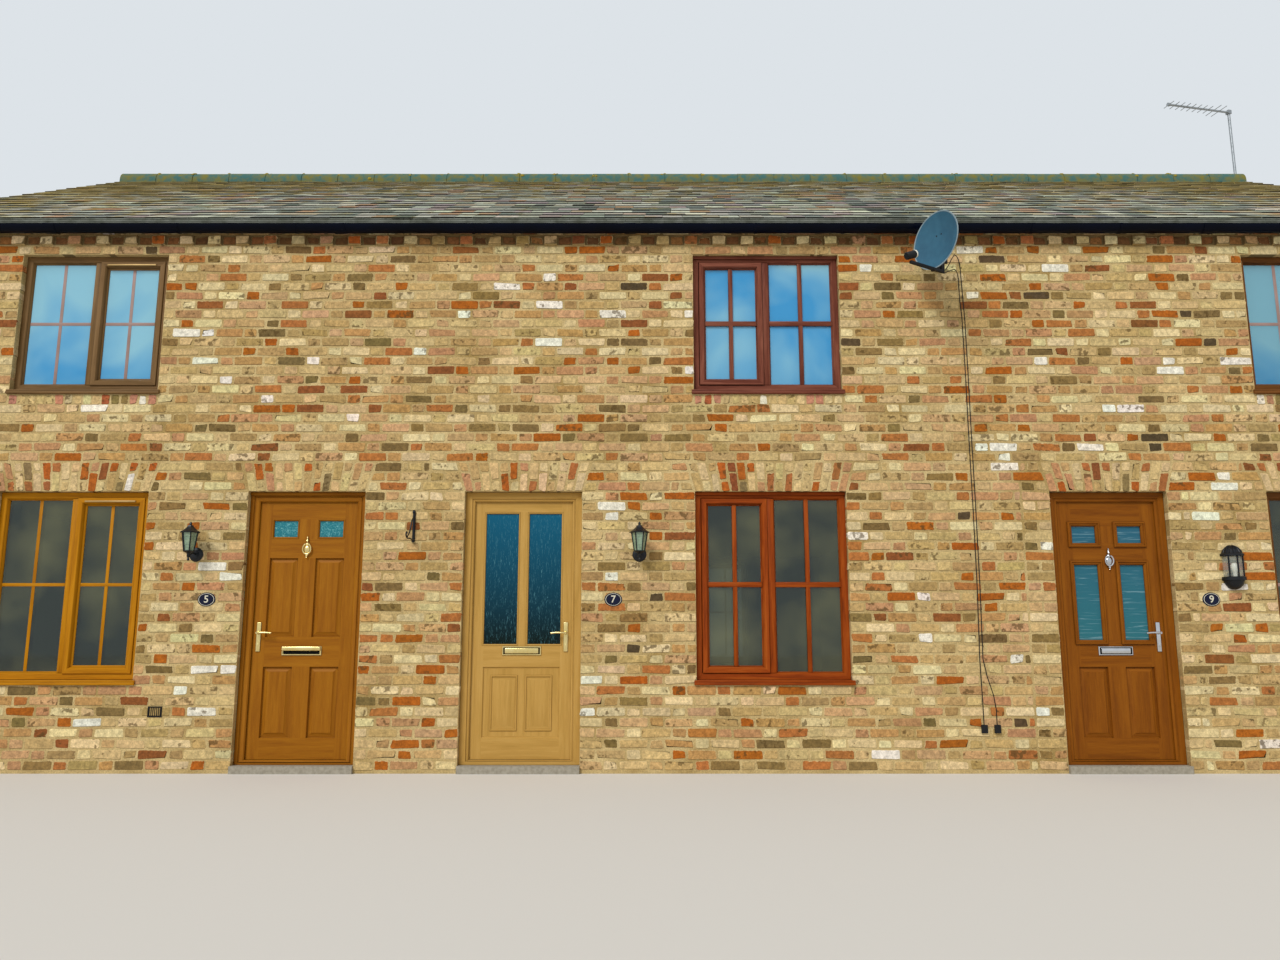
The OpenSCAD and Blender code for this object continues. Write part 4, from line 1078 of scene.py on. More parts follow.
@dataclass
class WallFace:
    """One outer face of brickwork in Flemish bond, with its arches, sills and eaves courses."""

    name: str
    origin: Spot
    along: Spot
    half: float
    sign: int = 1
    openings: bool = True
    template: Template = PLAIN_BRICK
    seed: int = 1
    odd: int = 0
    jamb_back: float = 0.050
    jamb_over: float = 0.0015
    shallow: float = 0.004
    corner_lap: float = 0.003
    joint_half: float = 0.0045
    gable_half: float = 3.68
    dentil_out: float = 0.026
    dentil_pitch: float = 0.225
    dentil_half: float = 0.0525
    sill_bricks: int = 16
    sliver: float = 0.03
    thin: float = 0.062
    gable_end: float = 0.12

    def under_slates(self, z: float) -> float:
        """Half the width of a gable at a height."""
        return self.gable_half - (z - BAND_TOP) / math.tan(PITCH)

    def pieces(self, course: int, a: float, b: float) -> list[list[float]]:
        """Bricks of one course between two ends, with no sliver at either end.

        Args:
            course: Number of the course.
            a: Where they start.
            b: Where they end.

        Returns:
            Start and end of each brick.
        """
        found = []
        start = -HALF_ROW if self.openings else FRONT
        phase = start + (course + self.odd) % 2 * PERIOD / 2
        k = math.floor((a - phase) / PERIOD) - 1
        while phase + k * PERIOD < b:
            p = phase + k * PERIOD
            for s, e in ((p, p + STRETCHER), (p + STRETCHER + JOINT, p + PERIOD - JOINT)):
                s, e = max(s, a), min(e, b)
                if e - s > self.shallow:
                    found.append([s, e])
            k += 1
        if not found:
            return []
        found[0][0], found[-1][1] = a, b
        for first, second, end in ((0, 1, 0), (-1, -2, 1)):
            if len(found) < 2:
                break
            width = found[first][1] - found[first][0]
            if width < self.sliver:
                found[second][end] = found[first][end]
                del found[first]
            elif width < self.thin:
                lo = min(found[first][0], found[second][0])
                hi = max(found[first][1], found[second][1])
                span = found[second][1] - found[second][0]
                if end == 0:
                    found[0], found[1] = [lo, lo + span], [lo + span + JOINT, hi]
                else:
                    found[-1], found[-2] = [hi - span, hi], [lo, hi - span - JOINT]
        return found

    def gaps(self, course: int, z0: float, z1: float) -> list[tuple[float, float, float, float, bool]]:
        """What interrupts a course.

        Args:
            course: Number of the course.
            z0: Foot of its bricks.
            z1: Head of its bricks.

        Returns:
            For each gap its left end below and above, its right end likewise, and whether it is an opening.
        """
        if not self.openings:
            return []
        found = []
        for o in DOORS + LOWER + UPPER:
            if o.z0 < (z0 + z1) / 2 < o.z1:
                found.append((o.left, o.left, o.right, o.right, True))
        wider = []
        if ARCH_FOOT <= course < ARCH_HEAD:
            low, high = (JOINT + (z - HEAD_Z) * math.tan(ARCH_SPLAY) for z in (z0, z1))
            wider = [(o, low, high) for o in DOORS + LOWER]
        elif course == UPPER_SILL:
            wider = [(o, JOINT, JOINT) for o in UPPER]
        found += [(o.left - a, o.left - b, o.right + a, o.right + b, False) for o, a, b in wider]
        return sorted(found)

    def put(self, laid: Laid, z: Span, low: tuple, high: tuple, **more: float) -> None:
        """Lays one brick by its ends below and above.

        Args:
            laid: The plane.
            z: Foot and head.
            low: Its ends below.
            high: Its ends above.
            **more: Depths of the brick.
        """
        if self.sign < 0:
            low, high = (-low[1], -low[0]), (-high[1], -high[0])
        laid.lay([(low[0], z[0]), (low[1], z[0]), (high[1], z[1]), (high[0], z[1])], **more)

    def course(self, laid: Laid, n: int) -> None:
        """Lays one course between the corners and the openings.

        Args:
            laid: The plane.
            n: Number of the course.
        """
        z0, z1 = bed(n) + JOINT / 2, bed(n + 1) - JOINT / 2
        reach = [self.half + self.corner_lap] * 2
        if not self.openings:
            reach = [min(self.half, self.under_slates(z)) for z in (z0, z1)]
        left, top_left, jamb, spans = -reach[0], -reach[1], False, []
        for a0, a1, b0, b1, opening in self.gaps(n, z0, z1):
            spans.append((left, top_left, a0, a1, jamb, opening))
            left, top_left, jamb = b0, b1, opening
        spans.append((left, top_left, reach[0], reach[1], jamb, False))
        for a0, a1, b0, b1, start_jamb, end_jamb in spans:
            found = self.pieces(n, min(a0, a1), max(b0, b1))
            for k, (s, e) in enumerate(found):
                low, high, back = [s, e], [s, e], self.shallow
                if k == 0:
                    over = self.jamb_over if start_jamb else 0.0
                    low[0], high[0] = a0 - over, a1 - over
                    back = self.jamb_back if start_jamb else back
                if k == len(found) - 1:
                    over = self.jamb_over if end_jamb else 0.0
                    low[1], high[1] = b0 + over, b1 + over
                    back = self.jamb_back if end_jamb else back
                low[1], high[1] = max(low[1], low[0] + JOINT), max(high[1], high[0] + JOINT)
                z_foot = z0
                if self.openings and n == UPPER_HEAD and any(o.left < (s + e) / 2 < o.right for o in UPPER):
                    z_foot, back = bed(n) - self.jamb_over, self.jamb_back
                self.put(laid, (z_foot, z1), low, high, back=back)

    def arches(self, laid: Laid) -> None:
        """Lays the flat arches: fanned columns, each of a long and a short piece."""
        rise = ARCH_TOP - HEAD_Z
        spread = rise * math.tan(ARCH_SPLAY)
        for o in DOORS + LOWER:
            count = 13 if o.w < 1 else 17
            for k in range(count):
                cut = 0.36 if k % 2 else 0.64
                for lo, hi in ((0.0, cut - 0.02), (cut + 0.02, 1.0)):
                    ends = []
                    for share in (lo, hi):
                        width = o.w + 2 * spread * share
                        x0 = o.x - width / 2 + width * k / count
                        ends.append((x0 + self.joint_half, x0 + width / count - self.joint_half))
                    foot = HEAD_Z + rise * lo - (self.jamb_over if lo == 0 else 0)
                    head = HEAD_Z + rise * hi - (JOINT / 2 if hi == 1 else 0)
                    self.put(laid, (foot, head), *ends, back=self.jamb_back if lo == 0 else self.shallow)

    def sills(self, laid: Laid) -> None:
        """Lays the bricks on edge under the upper windows."""
        for o in UPPER:
            for k in range(self.sill_bricks):
                x0 = o.left + o.w * k / self.sill_bricks
                ends = (x0 + self.joint_half, x0 + o.w / self.sill_bricks - self.joint_half)
                self.put(laid, (bed(UPPER_SILL) - 0.006, bed(UPPER_SILL + 1) - 0.003), ends, ends)

    def eaves(self, recess: Laid, dentils: Laid, band: Laid) -> None:
        """Lays the dentils, the bricks between them and the course over them.

        Args:
            recess: The wall's own plane, for the bricks between the dentils.
            dentils: The plane of the dentils' faces.
            band: The plane of the course over them.
        """
        z0, z1 = bed(DENTILS), bed(DENTILS + 1)
        for k in range(-30, 30):
            x = (k + 0.5) * self.dentil_pitch
            ends = (x - self.dentil_half, x + self.dentil_half)
            self.put(dentils, (z0 - 0.001, z1 - 0.004), ends, ends, proud=0.002, back=self.dentil_out)
            gap = (ends[1] + JOINT, ends[0] + self.dentil_pitch - JOINT)
            if k < 29:
                self.put(recess, (z0 + JOINT / 2, z1 - JOINT / 2), gap, gap)
        for ends in self.pieces(DENTILS + 1, -self.half - self.corner_lap, self.half + self.corner_lap):
            self.put(band, (z1 - 0.001, BAND_TOP - 0.012), ends, ends, proud=0.002, back=BAND_OUT)

    def build(self) -> None:
        """Lays all the courses and puts the piece in the scene."""
        along, up, origin = Vector(self.along), Vector((0, 0, 1)), Vector(self.origin)
        out = along.cross(up)

        def plane(mix: tuple[Tone, ...], step: int, forward: float = 0.0) -> Laid:
            """One plane of bricks, parallel to the wall."""
            return Laid(origin + out * forward, along, up, mix, self.seed + step)

        wall = plane(STOCK_MIX, 0)
        planes = [wall]
        if self.openings:
            arch, sill, recess = plane(ARCH_MIX, 10), plane(SILL_MIX, 15), plane(EAVES_SHADE_MIX, 40)
            dentils, band = plane(DENTIL_MIX, 20, self.dentil_out), plane(STOCK_MIX, 30, BAND_OUT)
            planes += [arch, sill, recess, dentils, band]
            self.arches(arch)
            self.sills(sill)
            self.eaves(recess, dentils, band)
        for n in range(DENTILS if self.openings else GABLE_TOP):
            if not self.openings and self.under_slates(bed(n + 1)) < self.gable_end:
                break
            self.course(wall, n)
        stamped(self.name, [p.build(self.template) for p in planes], BRICK, "stock_brick")


@dataclass
class SlateRoof:
    """The slated slopes, with their eaves and verges, and the half-round ridge over them."""

    gauge: float = 0.205
    width: float = 0.165
    half: float = 6.81
    verge_over: float = 0.008
    eaves_y: float = 3.725
    overhang: float = 0.012
    tail: float = 0.011
    head: float = 0.002
    lap: float = 0.035
    gap: float = 0.0015
    widths: Span = (0.86, 1.16)
    least: float = 0.04
    slip: float = 0.004
    drop: float = 0.012
    dropped: float = 0.02
    ridge_r: float = 0.115
    ridge_t: float = 0.016
    legs: Span = (0.031, 0.040)
    tiles: int = 31
    doubled: int = 4
    short_pitch: float = 0.0115
    short_gap: float = 0.0055

    def slope(self, name: str, sign: int, seed: int, node: str) -> None:
        """Lays one slope.

        Args:
            name: Name of the piece.
            sign: -1 for the street side and 1 for the rear.
            seed: Seed of the slates' random draws.
            node: The slope's node.
        """
        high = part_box(node)[1]
        along = Vector((-sign, 0, 0))
        up = Vector((0, -sign * math.cos(PITCH), math.sin(PITCH)))
        origin = Vector((0, sign * self.eaves_y, high.z - math.tan(PITCH) * self.eaves_y))
        length = self.eaves_y / math.cos(PITCH)
        rng = np.random.default_rng(SEED + seed)
        laid = Laid(origin, along, up, SLATE_MIX, seed + 1, 0.0018)
        end = self.half + self.verge_over
        for row in range(int(length / self.gauge) + 1):
            s0 = row * self.gauge - self.overhang
            s1 = min(s0 + self.gauge + self.lap, length - 0.01)
            if s1 - s0 < 0.06:
                break
            x = -end - (row % 2) * self.width / 2
            while x < end:
                w = self.width * rng.uniform(*self.widths)
                a, b = max(x, -end), min(x + w, end)
                x += w
                if end - b < self.least + 0.01:
                    b, x = end, end + 1
                if b - a < self.least:
                    continue
                slip = rng.uniform(-self.slip, self.slip) - (self.drop if rng.uniform() < self.dropped else 0)
                left, right = a + self.gap, b - self.gap
                quad = [(left, s0 + slip), (right, s0 + slip), (right, s1), (left, s1)]
                laid.lay(quad, proud=self.tail + rng.uniform(-0.001, 0.003), back=-0.002, head=self.head)
        stamped(name, [laid.build(SLATE_BLOCK)], SLATE, "roof_slate")

    def eaves_ends(self, name: str, sign: int, node: str) -> None:
        """Lays the short courses that double the eaves and close the strip over the gutter.

        Args:
            name: Name of the piece.
            sign: -1 for the street side and 1 for the rear.
            node: The slope's node.
        """
        maker = Maker(name, 57 + sign)
        rng = np.random.default_rng(SEED + 57 + sign)
        foot = (0, sign * self.eaves_y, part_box(node)[1].z - math.tan(PITCH) * self.eaves_y)
        place = Matrix.Translation(foot) @ Matrix.Rotation(-sign * PITCH, 4, "X")
        for k in range(self.doubled):
            x = -self.half - k * 0.04
            while x < self.half:
                w = self.width * rng.uniform(0.9, 1.4)
                ends = (max(x, -self.half) + self.gap, min(x + w, self.half) - self.gap)
                out = self.overhang + 0.007 * (k + 1) + rng.uniform(-0.002, 0.002)
                deep = (self.short_gap - self.short_pitch * (k + 1), -self.short_pitch * k)
                if ends[1] - ends[0] > 0.03:
                    maker.block(ends, (sign * out, -sign * 0.01), deep, 0.0, place=place)
                x += w
        maker.publish(SLATE_ENDS, slot="roof_slate")

    def ridge(self) -> None:
        """Lays the ridge tiles one by one, with cushions of moss at the joints."""
        centre_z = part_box("ridge_tiles")[1].z - self.ridge_r
        pitch = 2 * self.half / self.tiles
        rng = np.random.default_rng(SEED + 71)
        tiles, tufts = Maker("ridge_tile_row", 71), Maker("ridge_moss", 72)
        inner = self.ridge_r - self.ridge_t
        run, radii = (0.02 - self.half, self.half - 0.02), (inner - 0.004, self.ridge_r - 0.008)
        half_pipe(tiles, run, radii, (0, 0, centre_z), legs=self.legs)
        for k in range(self.tiles):
            x0 = -self.half + k * pitch
            at = (0, rng.uniform(-0.002, 0.002), centre_z + rng.uniform(-0.003, 0.001))
            half_pipe(tiles, (x0 + 0.0035, x0 + pitch - 0.0035), (inner, self.ridge_r), at, legs=self.legs)
            for _ in range(rng.integers(0, 4)):
                angle = rng.normal(0.5, 0.45)
                part = bmesh.new()
                size = Matrix.Diagonal((0.022, 0.017, 0.010, 1)) * rng.uniform(0.5, 1.1)
                size[3][3] = 1.0
                out, up = self.ridge_r * math.sin(angle), self.ridge_r * math.cos(angle)
                spot = Matrix.Translation((x0 + rng.normal(0, 0.02), -out, centre_z + up))
                whole = spot @ Matrix.Rotation(angle, 4, "X") @ size
                bmesh.ops.create_icosphere(part, subdivisions=2, radius=1.0, matrix=whole)
                for v in part.verts:
                    v.co += Vector(rng.normal(0, 0.0015, 3))
                tufts.take(part)
        tiles.publish(CLAY_RIDGE, slot="ridge_clay", replaces=("ridge_tiles",), angle=35)
        tufts.publish(MOSS, slot="ridge_clay", angle=60)

    def build(self) -> None:
        """Builds both slopes and the ridge."""
        self.slope("front_slates", -1, 51, "front_roof_slope")
        self.slope("rear_slates", 1, 54, "rear_roof_slope")
        self.eaves_ends("front_eaves_ends", -1, "front_roof_slope")
        self.eaves_ends("rear_eaves_ends", 1, "rear_roof_slope")
        self.ridge()


def half_pipe(maker: Maker, x: Span, radii: Span, at: Spot, up: bool = True, legs: Span = (0.0, 0.0),
              steps: int = 12) -> None:
    """Adds a half-round run along X.

    Args:
        maker: Piece for it.
        x: Its two ends.
        radii: Inner and outer radius.
        at: Centre of its half circle, with the X added to both ends.
        up: Whether it is a hood. Otherwise it is a trough.
        legs: How far its inner and outer edge run on downwards.
        steps: Facets of the half circle.
    """
    part = bmesh.new()
    verts = [part.verts.new((x[0], r, 0)) for r in radii]
    edge = part.edges.new(verts)
    bmesh.ops.spin(part, geom=[*verts, edge], cent=(0, 0, 0), axis=(-1 if up else 1, 0, 0), angle=-math.pi,
                   steps=steps, use_merge=False)
    bmesh.ops.remove_doubles(part, verts=part.verts[:], dist=1e-6)
    if legs[1]:
        ends = [e for e in part.edges if all(abs(v.co.z) < 1e-6 for v in e.verts)]
        for v in moved(bmesh.ops.extrude_edge_only(part, edges=ends)["geom"]):
            v.co.z -= legs[abs(v.co.y) > sum(radii) / 2]
    made = bmesh.ops.extrude_face_region(part, geom=part.faces[:])["geom"]
    bmesh.ops.translate(part, vec=(x[1] - x[0], 0, 0), verts=moved(made))
    bmesh.ops.translate(part, vec=at, verts=part.verts[:])
    maker.take(part, Grain.ACROSS)


@dataclass
class Rainwater:
    """Unions and brackets of the gutters."""

    gutter_y: float = 3.736
    gutter_z: float = 4.2265
    gutter_r: float = 0.056
    lip: float = 0.008
    unions: tuple[float, ...] = (-5.21, -2.91, -0.60, 1.70, 4.00, 6.30)
    brackets: tuple[float, ...] = (-6.2, -4.2, -3.26, -1.85, 0.4, 1.1, 2.6, 3.3, 5.0, 5.8)

    def build(self) -> None:
        """Builds the pieces."""
        maker = Maker("gutter_unions_and_brackets", 81)
        sizes = [(u, 0.045, 0.004) for u in self.unions] + [(b, 0.011, 0.0035) for b in self.brackets]
        for sign in (-1, 1):
            for x, half, grow in sizes:
                radii = (self.gutter_r + 0.0003, self.gutter_r + grow)
                at = (0, sign * self.gutter_y, self.gutter_z)
                half_pipe(maker, (x - half, x + half), radii, at, up=False, steps=14)
                out = sign * (self.gutter_y + self.gutter_r)
                maker.block((x - half, x + half), (out - sign * self.lip, out + sign * grow),
                            (self.gutter_z - 0.006, self.gutter_z + 0.003), 0.001)
        maker.publish(GUTTER, slot="black_gutter")


# Joinery


@dataclass
class Window:
    """One window: frame, casement, beads, bars and sill. A timber window has real bars."""

    opening: Opening
    casement_left: bool
    timber: bool
    maker: Maker
    bars: Maker
    side: int = -1
    face: float = 0.050
    casement_face: float = 0.044
    frame_d: float = 0.050
    back_d: float = 0.122
    pane_d: float = 0.076
    inner_d: float = 0.112
    sill_h: float = 0.038
    sill_out: float = 0.022
    sill_nose: float = 0.018
    tape: float = 0.0125
    timber_bars: Span = (0.017, 0.020)

    def y(self, depth: float) -> float:
        """Turns a depth behind the wall's face into a Y."""
        return self.side * (-FRONT - depth)

    def sweep(self, x: Span, z: Span, shape: list[Point], closed: bool = True) -> None:
        """Sweeps a profile of insets and depths round a field.

        Args:
            x: Ends of the field.
            z: Foot and head of the field.
            shape: The profile.
            closed: Whether it closes on its first point.
        """
        profile = [(inset, self.y(depth)) for inset, depth in shape]
        self.maker.ring(x, z, profile, closed=closed, outward=float(self.side))

    def build(self) -> None:
        """Adds the window's parts."""
        o, y, face, frame_d, pane = self.opening, self.y, self.face, self.frame_d, self.pane_d
        z0 = o.z0 + self.sill_h
        light = (o.w - 3 * face) / 2
        lights = [(o.left + face, o.left + face + light), (o.right - face - light, o.right - face)]
        rails = (z0 + face, o.z1 - face)
        soft = 0.0015 if self.timber else 0.003
        self.sweep((o.left, o.right), (z0, o.z1), [
            (0.0, self.back_d), (0.0, frame_d + soft), (soft, frame_d), (face - 0.006, frame_d),
            (face, frame_d + 0.006), (face, self.back_d),
        ])
        self.maker.block((lights[0][1], lights[1][0]), (y(frame_d), y(self.back_d)), rails, 0.004)
        for k, (a, b) in enumerate(lights):
            opens = (k == 0) == self.casement_left
            edge = self.casement_face if opens else 0.0
            if opens:
                self.casement((a, b), rails)
            field_x, field_z = (a + edge, b - edge), (rails[0] + edge, rails[1] - edge)
            bead = 0.010 if self.timber else 0.012
            start = pane - (0.010 if opens else 0.016)
            shape = [(-0.001, start), (0.003, start - 0.001), (bead, pane - 0.003), (bead, pane + 0.002)]
            self.sweep(field_x, field_z, shape, closed=False)
            self.glazing(field_x, field_z)
        self.sill()

    def casement(self, x: Span, z: Span) -> None:
        """Adds the opening light's own frame: flush in timber, lipped over the frame in plastic.

        Args:
            x: Ends of the light.
            z: Foot and head of the light.
        """
        flush, inner, face = self.frame_d - 0.001, self.inner_d, self.casement_face
        front = self.frame_d - 0.010
        if self.timber:
            shape = [(0.001, inner), (0.001, front + 0.0015), (0.0025, front), (0.036, front),
                     (0.040, front + 0.008), (face, front + 0.010), (face, inner)]
        else:
            shape = [(-0.006, flush), (-0.006, front + 0.004), (-0.003, front), (0.030, front),
                     (0.036, front + 0.006), (face, self.pane_d - 0.008), (face, inner), (0.001, inner),
                     (0.001, flush)]
        self.sweep(x, z, shape)

    def glazing(self, x: Span, z: Span) -> None:
        """Adds the cross of bars of one light: real bars in timber, flat tapes inside a sealed unit.

        Args:
            x: Ends of the light.
            z: Foot and head of the light.
        """
        mid_x, mid_z, pane = sum(x) / 2, sum(z) / 2, self.pane_d
        upright, level = self.timber_bars if self.timber else (self.tape, self.tape)
        front, back, soft = (0.018, 0.0, 0.005) if self.timber else (0.0016, 0.001, 0.0004)
        deep = (self.y(pane - front), self.y(pane + back))
        self.bars.block((mid_x - upright, mid_x + upright), deep, z, soft)
        # The level bar stands a hair forward, so that no two faces coincide where they cross
        deep = (self.y(pane - front - 0.0006), self.y(pane + back + 0.0006))
        self.bars.block(x, deep, (mid_z - level, mid_z + level), soft, Grain.ACROSS)

    def sill(self) -> None:
        """Adds the sill with its nose and groove."""
        o, y, nose, z0, block = self.opening, self.y, self.sill_nose, self.opening.z0, self.maker.block
        block((o.left, o.right), (y(-0.002), y(self.back_d)), (z0, z0 + self.sill_h), 0.002, Grain.ACROSS)
        wide = (o.left - nose, o.right + nose)
        steps = ((self.sill_out, 0.001, 0.022), (self.sill_out - 0.006, 0.020, self.sill_h - 0.002))
        for out, foot, head in steps:
            block(wide, (y(-out), y(-0.0035)), (z0 + foot, z0 + head), 0.004, Grain.ACROSS)


@dataclass
class Windows:
    """The windows of the three houses, front and rear, and the blind behind one of them."""

    drip_y: Span = (FRONT + 0.028, FRONT + 0.052)
    vent_y: Span = (FRONT + 0.030, FRONT + 0.042)
    blind_y: float = FRONT + 0.150
    slat_w: float = 0.025
    slat_pitch: float = 0.021
    slat_tilt: float = 0.9

    def front(self) -> None:
        """Builds the street windows, one piece a house, and two where upper and lower ones differ."""
        kinds = (
            ("left_upper_window", OAK_FRAME, "oak_frame", "left", (UPPER[0],)),
            ("left_lower_window", WARM_FRAME, "oak_frame", "left", (LOWER[0],)),
            ("middle_upper_window", MAHOGANY, "mahogany_stain", "middle", (UPPER[1],)),
            ("middle_lower_window", CEDAR, "mahogany_stain", "middle", (LOWER[1],)),
            ("right_window_joinery", BROWN_FRAME, "brown_frame", "right", (LOWER[2], UPPER[2])),
        )
        bars, vents = Maker("internal_glazing_bars", 95), Maker("window_vent_strips", 98)
        for k, (name, finish, slot, house, openings) in enumerate(kinds):
            maker, timber = Maker(name, 90 + k), house == "middle"
            for o in openings:
                own = timber or o is LOWER[0]
                Window(o, timber, timber, maker, maker if own else bars).build()
                if timber:
                    maker.block((o.left, o.right), self.drip_y, (o.z1 - 0.024, o.z1), 0.003, Grain.ACROSS)
                else:
                    x, z = (o.x + 0.075, o.right - 0.115), (o.z1 - 0.080, o.z1 - 0.067)
                    vents.block(x, self.vent_y, z, 0.003, Grain.ACROSS)
            maker.publish(finish, slot=slot, replaces=(f"{house}_house_windows",))
        bars.publish(BAR_TAPE, slot="oak_frame")
        vents.publish(VENT, slot="oak_frame")

    def rear(self) -> None:
        """Builds the rear windows."""
        maker, bars = Maker("rear_window_joinery", 96), Maker("rear_glazing_bars", 97)
        for k in range(3):
            for o in (LOWER[k], UPPER[k]):
                Window(o, k == 1, False, maker, bars, side=1).build()
        maker.publish(BROWN_FRAME, slot="brown_frame", replaces=("rear_windows",))
        bars.publish(BAR_TAPE, slot="oak_frame")

    def blind(self) -> None:
        """Hangs the slatted blind behind the right house's upper window."""
        maker, o, y, half = Maker("upper_window_blind", 99), UPPER[2], self.blind_y, self.slat_w / 2
        x, head = (o.left + 0.06, o.right - 0.06), o.z1 - 0.06
        maker.block(x, (y - 0.02, y + 0.02), (head, head + 0.03), 0.002)
        for k in range(int((head - o.z0 - 0.11) / self.slat_pitch)):
            at = Matrix.Translation((0, y, head - (k + 1) * self.slat_pitch))
            place = at @ Matrix.Rotation(self.slat_tilt, 4, "X")
            maker.block(x, (-half, half), (-0.0004, 0.0004), 0.0, place=place)
        maker.publish(BLIND)

    def build(self) -> None:
        """Builds all the windows and dresses the glass."""
        self.front()
        self.rear()
        self.blind()
        dress(PANE, "front_window_glass", "rear_window_glass")


@dataclass
class Door:
    """A house door: frame, leaf with its panels and lights, glass and hinges."""

    index: int
    title: str
    body: Body
    hand: int
    finish: Finish
    slot: str
    stile: float
    middle: float
    leaf_w: float = 0.765
    leaf_z: float = 0.092
    leaf_h: float = 1.938
    out_d: float = 0.078
    in_d: float = 0.122
    foot_rail: float = 0.155
    low_panel: float = 0.522
    frame_face: float = 0.062
    bead_w: float = 0.014
    panel_over: float = 0.018
    knuckle_r: float = 0.008
    maker: Maker = field(init=False)

    def x(self, across: float) -> float:
        """Turns a distance from the hinge edge of the leaf into an X."""
        return DOORS[self.index].x + self.hand * (across - self.leaf_w / 2)

    def y(self, side: int) -> float:
        """Y of the leaf's street face, for a side of -1, or of its inner one."""
        return FRONT + (self.out_d if side < 0 else self.in_d)

    def span(self, a: float, b: float) -> Span:
        """Turns two distances from the hinge edge into ordered Xs."""
        low, high = sorted((self.x(a), self.x(b)))
        return low, high

    def place(self, p: Field) -> tuple[Span, Span]:
        """Turns a field on the leaf into its ends along X and Z."""
        return self.span(p[0], p[1]), (self.leaf_z + p[2], self.leaf_z + p[3])

    def pair(self, z: float, h: float, wider: float = 0.0) -> list[Field]:
        """Two fields side by side.

        Args:
            z: Their foot on the leaf.
            h: Their height.
            wider: How far they reach over each side of the lights.

        Returns:
            The two fields.
        """
        w = (self.leaf_w - 2 * self.stile - self.middle) / 2 + 2 * wider
        return [(s, s + w, z, z + h) for s in (self.stile - wider, self.leaf_w - self.stile - w + wider)]

    def lights(self) -> list[Field]:
        """The glazed fields of the leaf."""
        heights = (((1.662, 0.124),), ((0.847, 0.994),), ((1.615, 0.130), (0.877, 0.569)))
        return [p for z, h in heights[self.index] for p in self.pair(z, h)]

    def panels(self) -> list[Field]:
        """The panelled fields of the leaf."""
        if self.index == 1:
            return [(self.stile, self.leaf_w - self.stile, self.foot_rail, self.foot_rail + self.low_panel)]
        low = self.pair(self.foot_rail, self.low_panel, self.panel_over)
        return low + (self.pair(0.899, 0.600, self.panel_over) if self.index == 0 else [])

    def sweep(self, x: Span, z: Span, shape: list[Point], side: int, cap: bool = False) -> None:
        """Sweeps a profile round a field.

        Args:
            x: Ends of the field.
            z: Foot and head of the field.
            shape: The profile, as insets and heights over the leaf's face.
            side: -1 for the street face and 1 for the inner one.
            cap: Whether its middle is closed.
        """
        profile = [(inset, self.y(side) + side * high) for inset, high in shape]
        self.maker.ring(x, z, profile, cap=cap, outward=float(side))

    def face(self, side: int) -> None:
        """Adds one face of the leaf, cut where the fields are.

        Args:
            side: -1 for the street face and 1 for the inner one.
        """
        grow = self.bead_w if self.index != 2 else 0.0
        holes = self.panels() + [(a - grow, b + grow, c - grow, d + grow) for a, b, c, d in self.lights()]
        y, ((a, b), (z0, z1)) = self.y(side), self.place((0, self.leaf_w, 0, self.leaf_h))
        part = bmesh.new()
        part.faces.new([part.verts.new(v) for v in ((a, y, z0), (b, y, z0), (b, y, z1), (a, y, z1))])
        cuts = [((self.x(v), 0, 0), (1, 0, 0)) for v in sorted({v for h in holes for v in h[:2]})]
        cuts += [((0, 0, z0 + v), (0, 0, 1)) for v in sorted({v for h in holes for v in h[2:]})]
        for point, across in cuts:
            whole = part.verts[:] + part.edges[:] + part.faces[:]
            bmesh.ops.bisect_plane(part, geom=whole, plane_co=point, plane_no=across)
        boxes = [self.place(h) for h in holes]
        gone, uv = [], part.loops.layers.uv.new("UVMap")
        for f in part.faces:
            c = f.calc_center_median()
            if any(p[0] < c.x < p[1] and q[0] < c.z < q[1] for p, q in boxes):
                gone.append(f)
            upright = min(c.x - a, b - c.x) < self.stile or any(q[0] < c.z < q[1] for _, q in boxes)
            for loop in f.loops:
                co = loop.vert.co
                loop[uv].uv = (co.z, co.x) if upright else (co.x + 3, co.z + 5)
        bmesh.ops.delete(part, geom=gone, context="FACES")
        bmesh.ops.recalc_face_normals(part, faces=part.faces[:])
        if sum(f.normal.y for f in part.faces) * side < 0:
            bmesh.ops.reverse_faces(part, faces=part.faces[:])
        self.maker.absorb(part)

    def edges(self) -> None:
        """Adds the four narrow edges of the leaf."""
        out, back = self.y(-1), self.y(1)
        (a, b), (z0, z1) = self.place((0, self.leaf_w, 0, self.leaf_h))
        part = bmesh.new()
        verts = [part.verts.new((x, out, z)) for x, z in ((a, z0), (b, z0), (b, z1), (a, z1))]
        edges = [part.edges.new((verts[k], verts[(k + 1) % 4])) for k in range(4)]
        made = bmesh.ops.extrude_edge_only(part, edges=edges)["geom"]
        bmesh.ops.translate(part, vec=(0, back - out, 0), verts=moved(made))
        bmesh.ops.recalc_face_normals(part, faces=part.faces[:])
        centre = Vector(((a + b) / 2, (out + back) / 2, (z0 + z1) / 2))
        if sum((f.calc_center_median() - centre).dot(f.normal) for f in part.faces) < 0:
            bmesh.ops.reverse_faces(part, faces=part.faces[:])
        self.maker.take(part, recalc=False)

    def leaf(self) -> None:
        """Builds the leaf."""
        self.maker = Maker(f"{self.title}_leaf", 101 + self.index)
        self.edges()
        for side in (-1, 1):
            self.face(side)
            for p in self.panels():
                self.panel(p, side)
            for p in self.lights():
                self.light(p, side)
        self.knuckles(True)
        self.maker.publish(self.finish, self.body, self.slot, (f"{self.title}_leaf",))

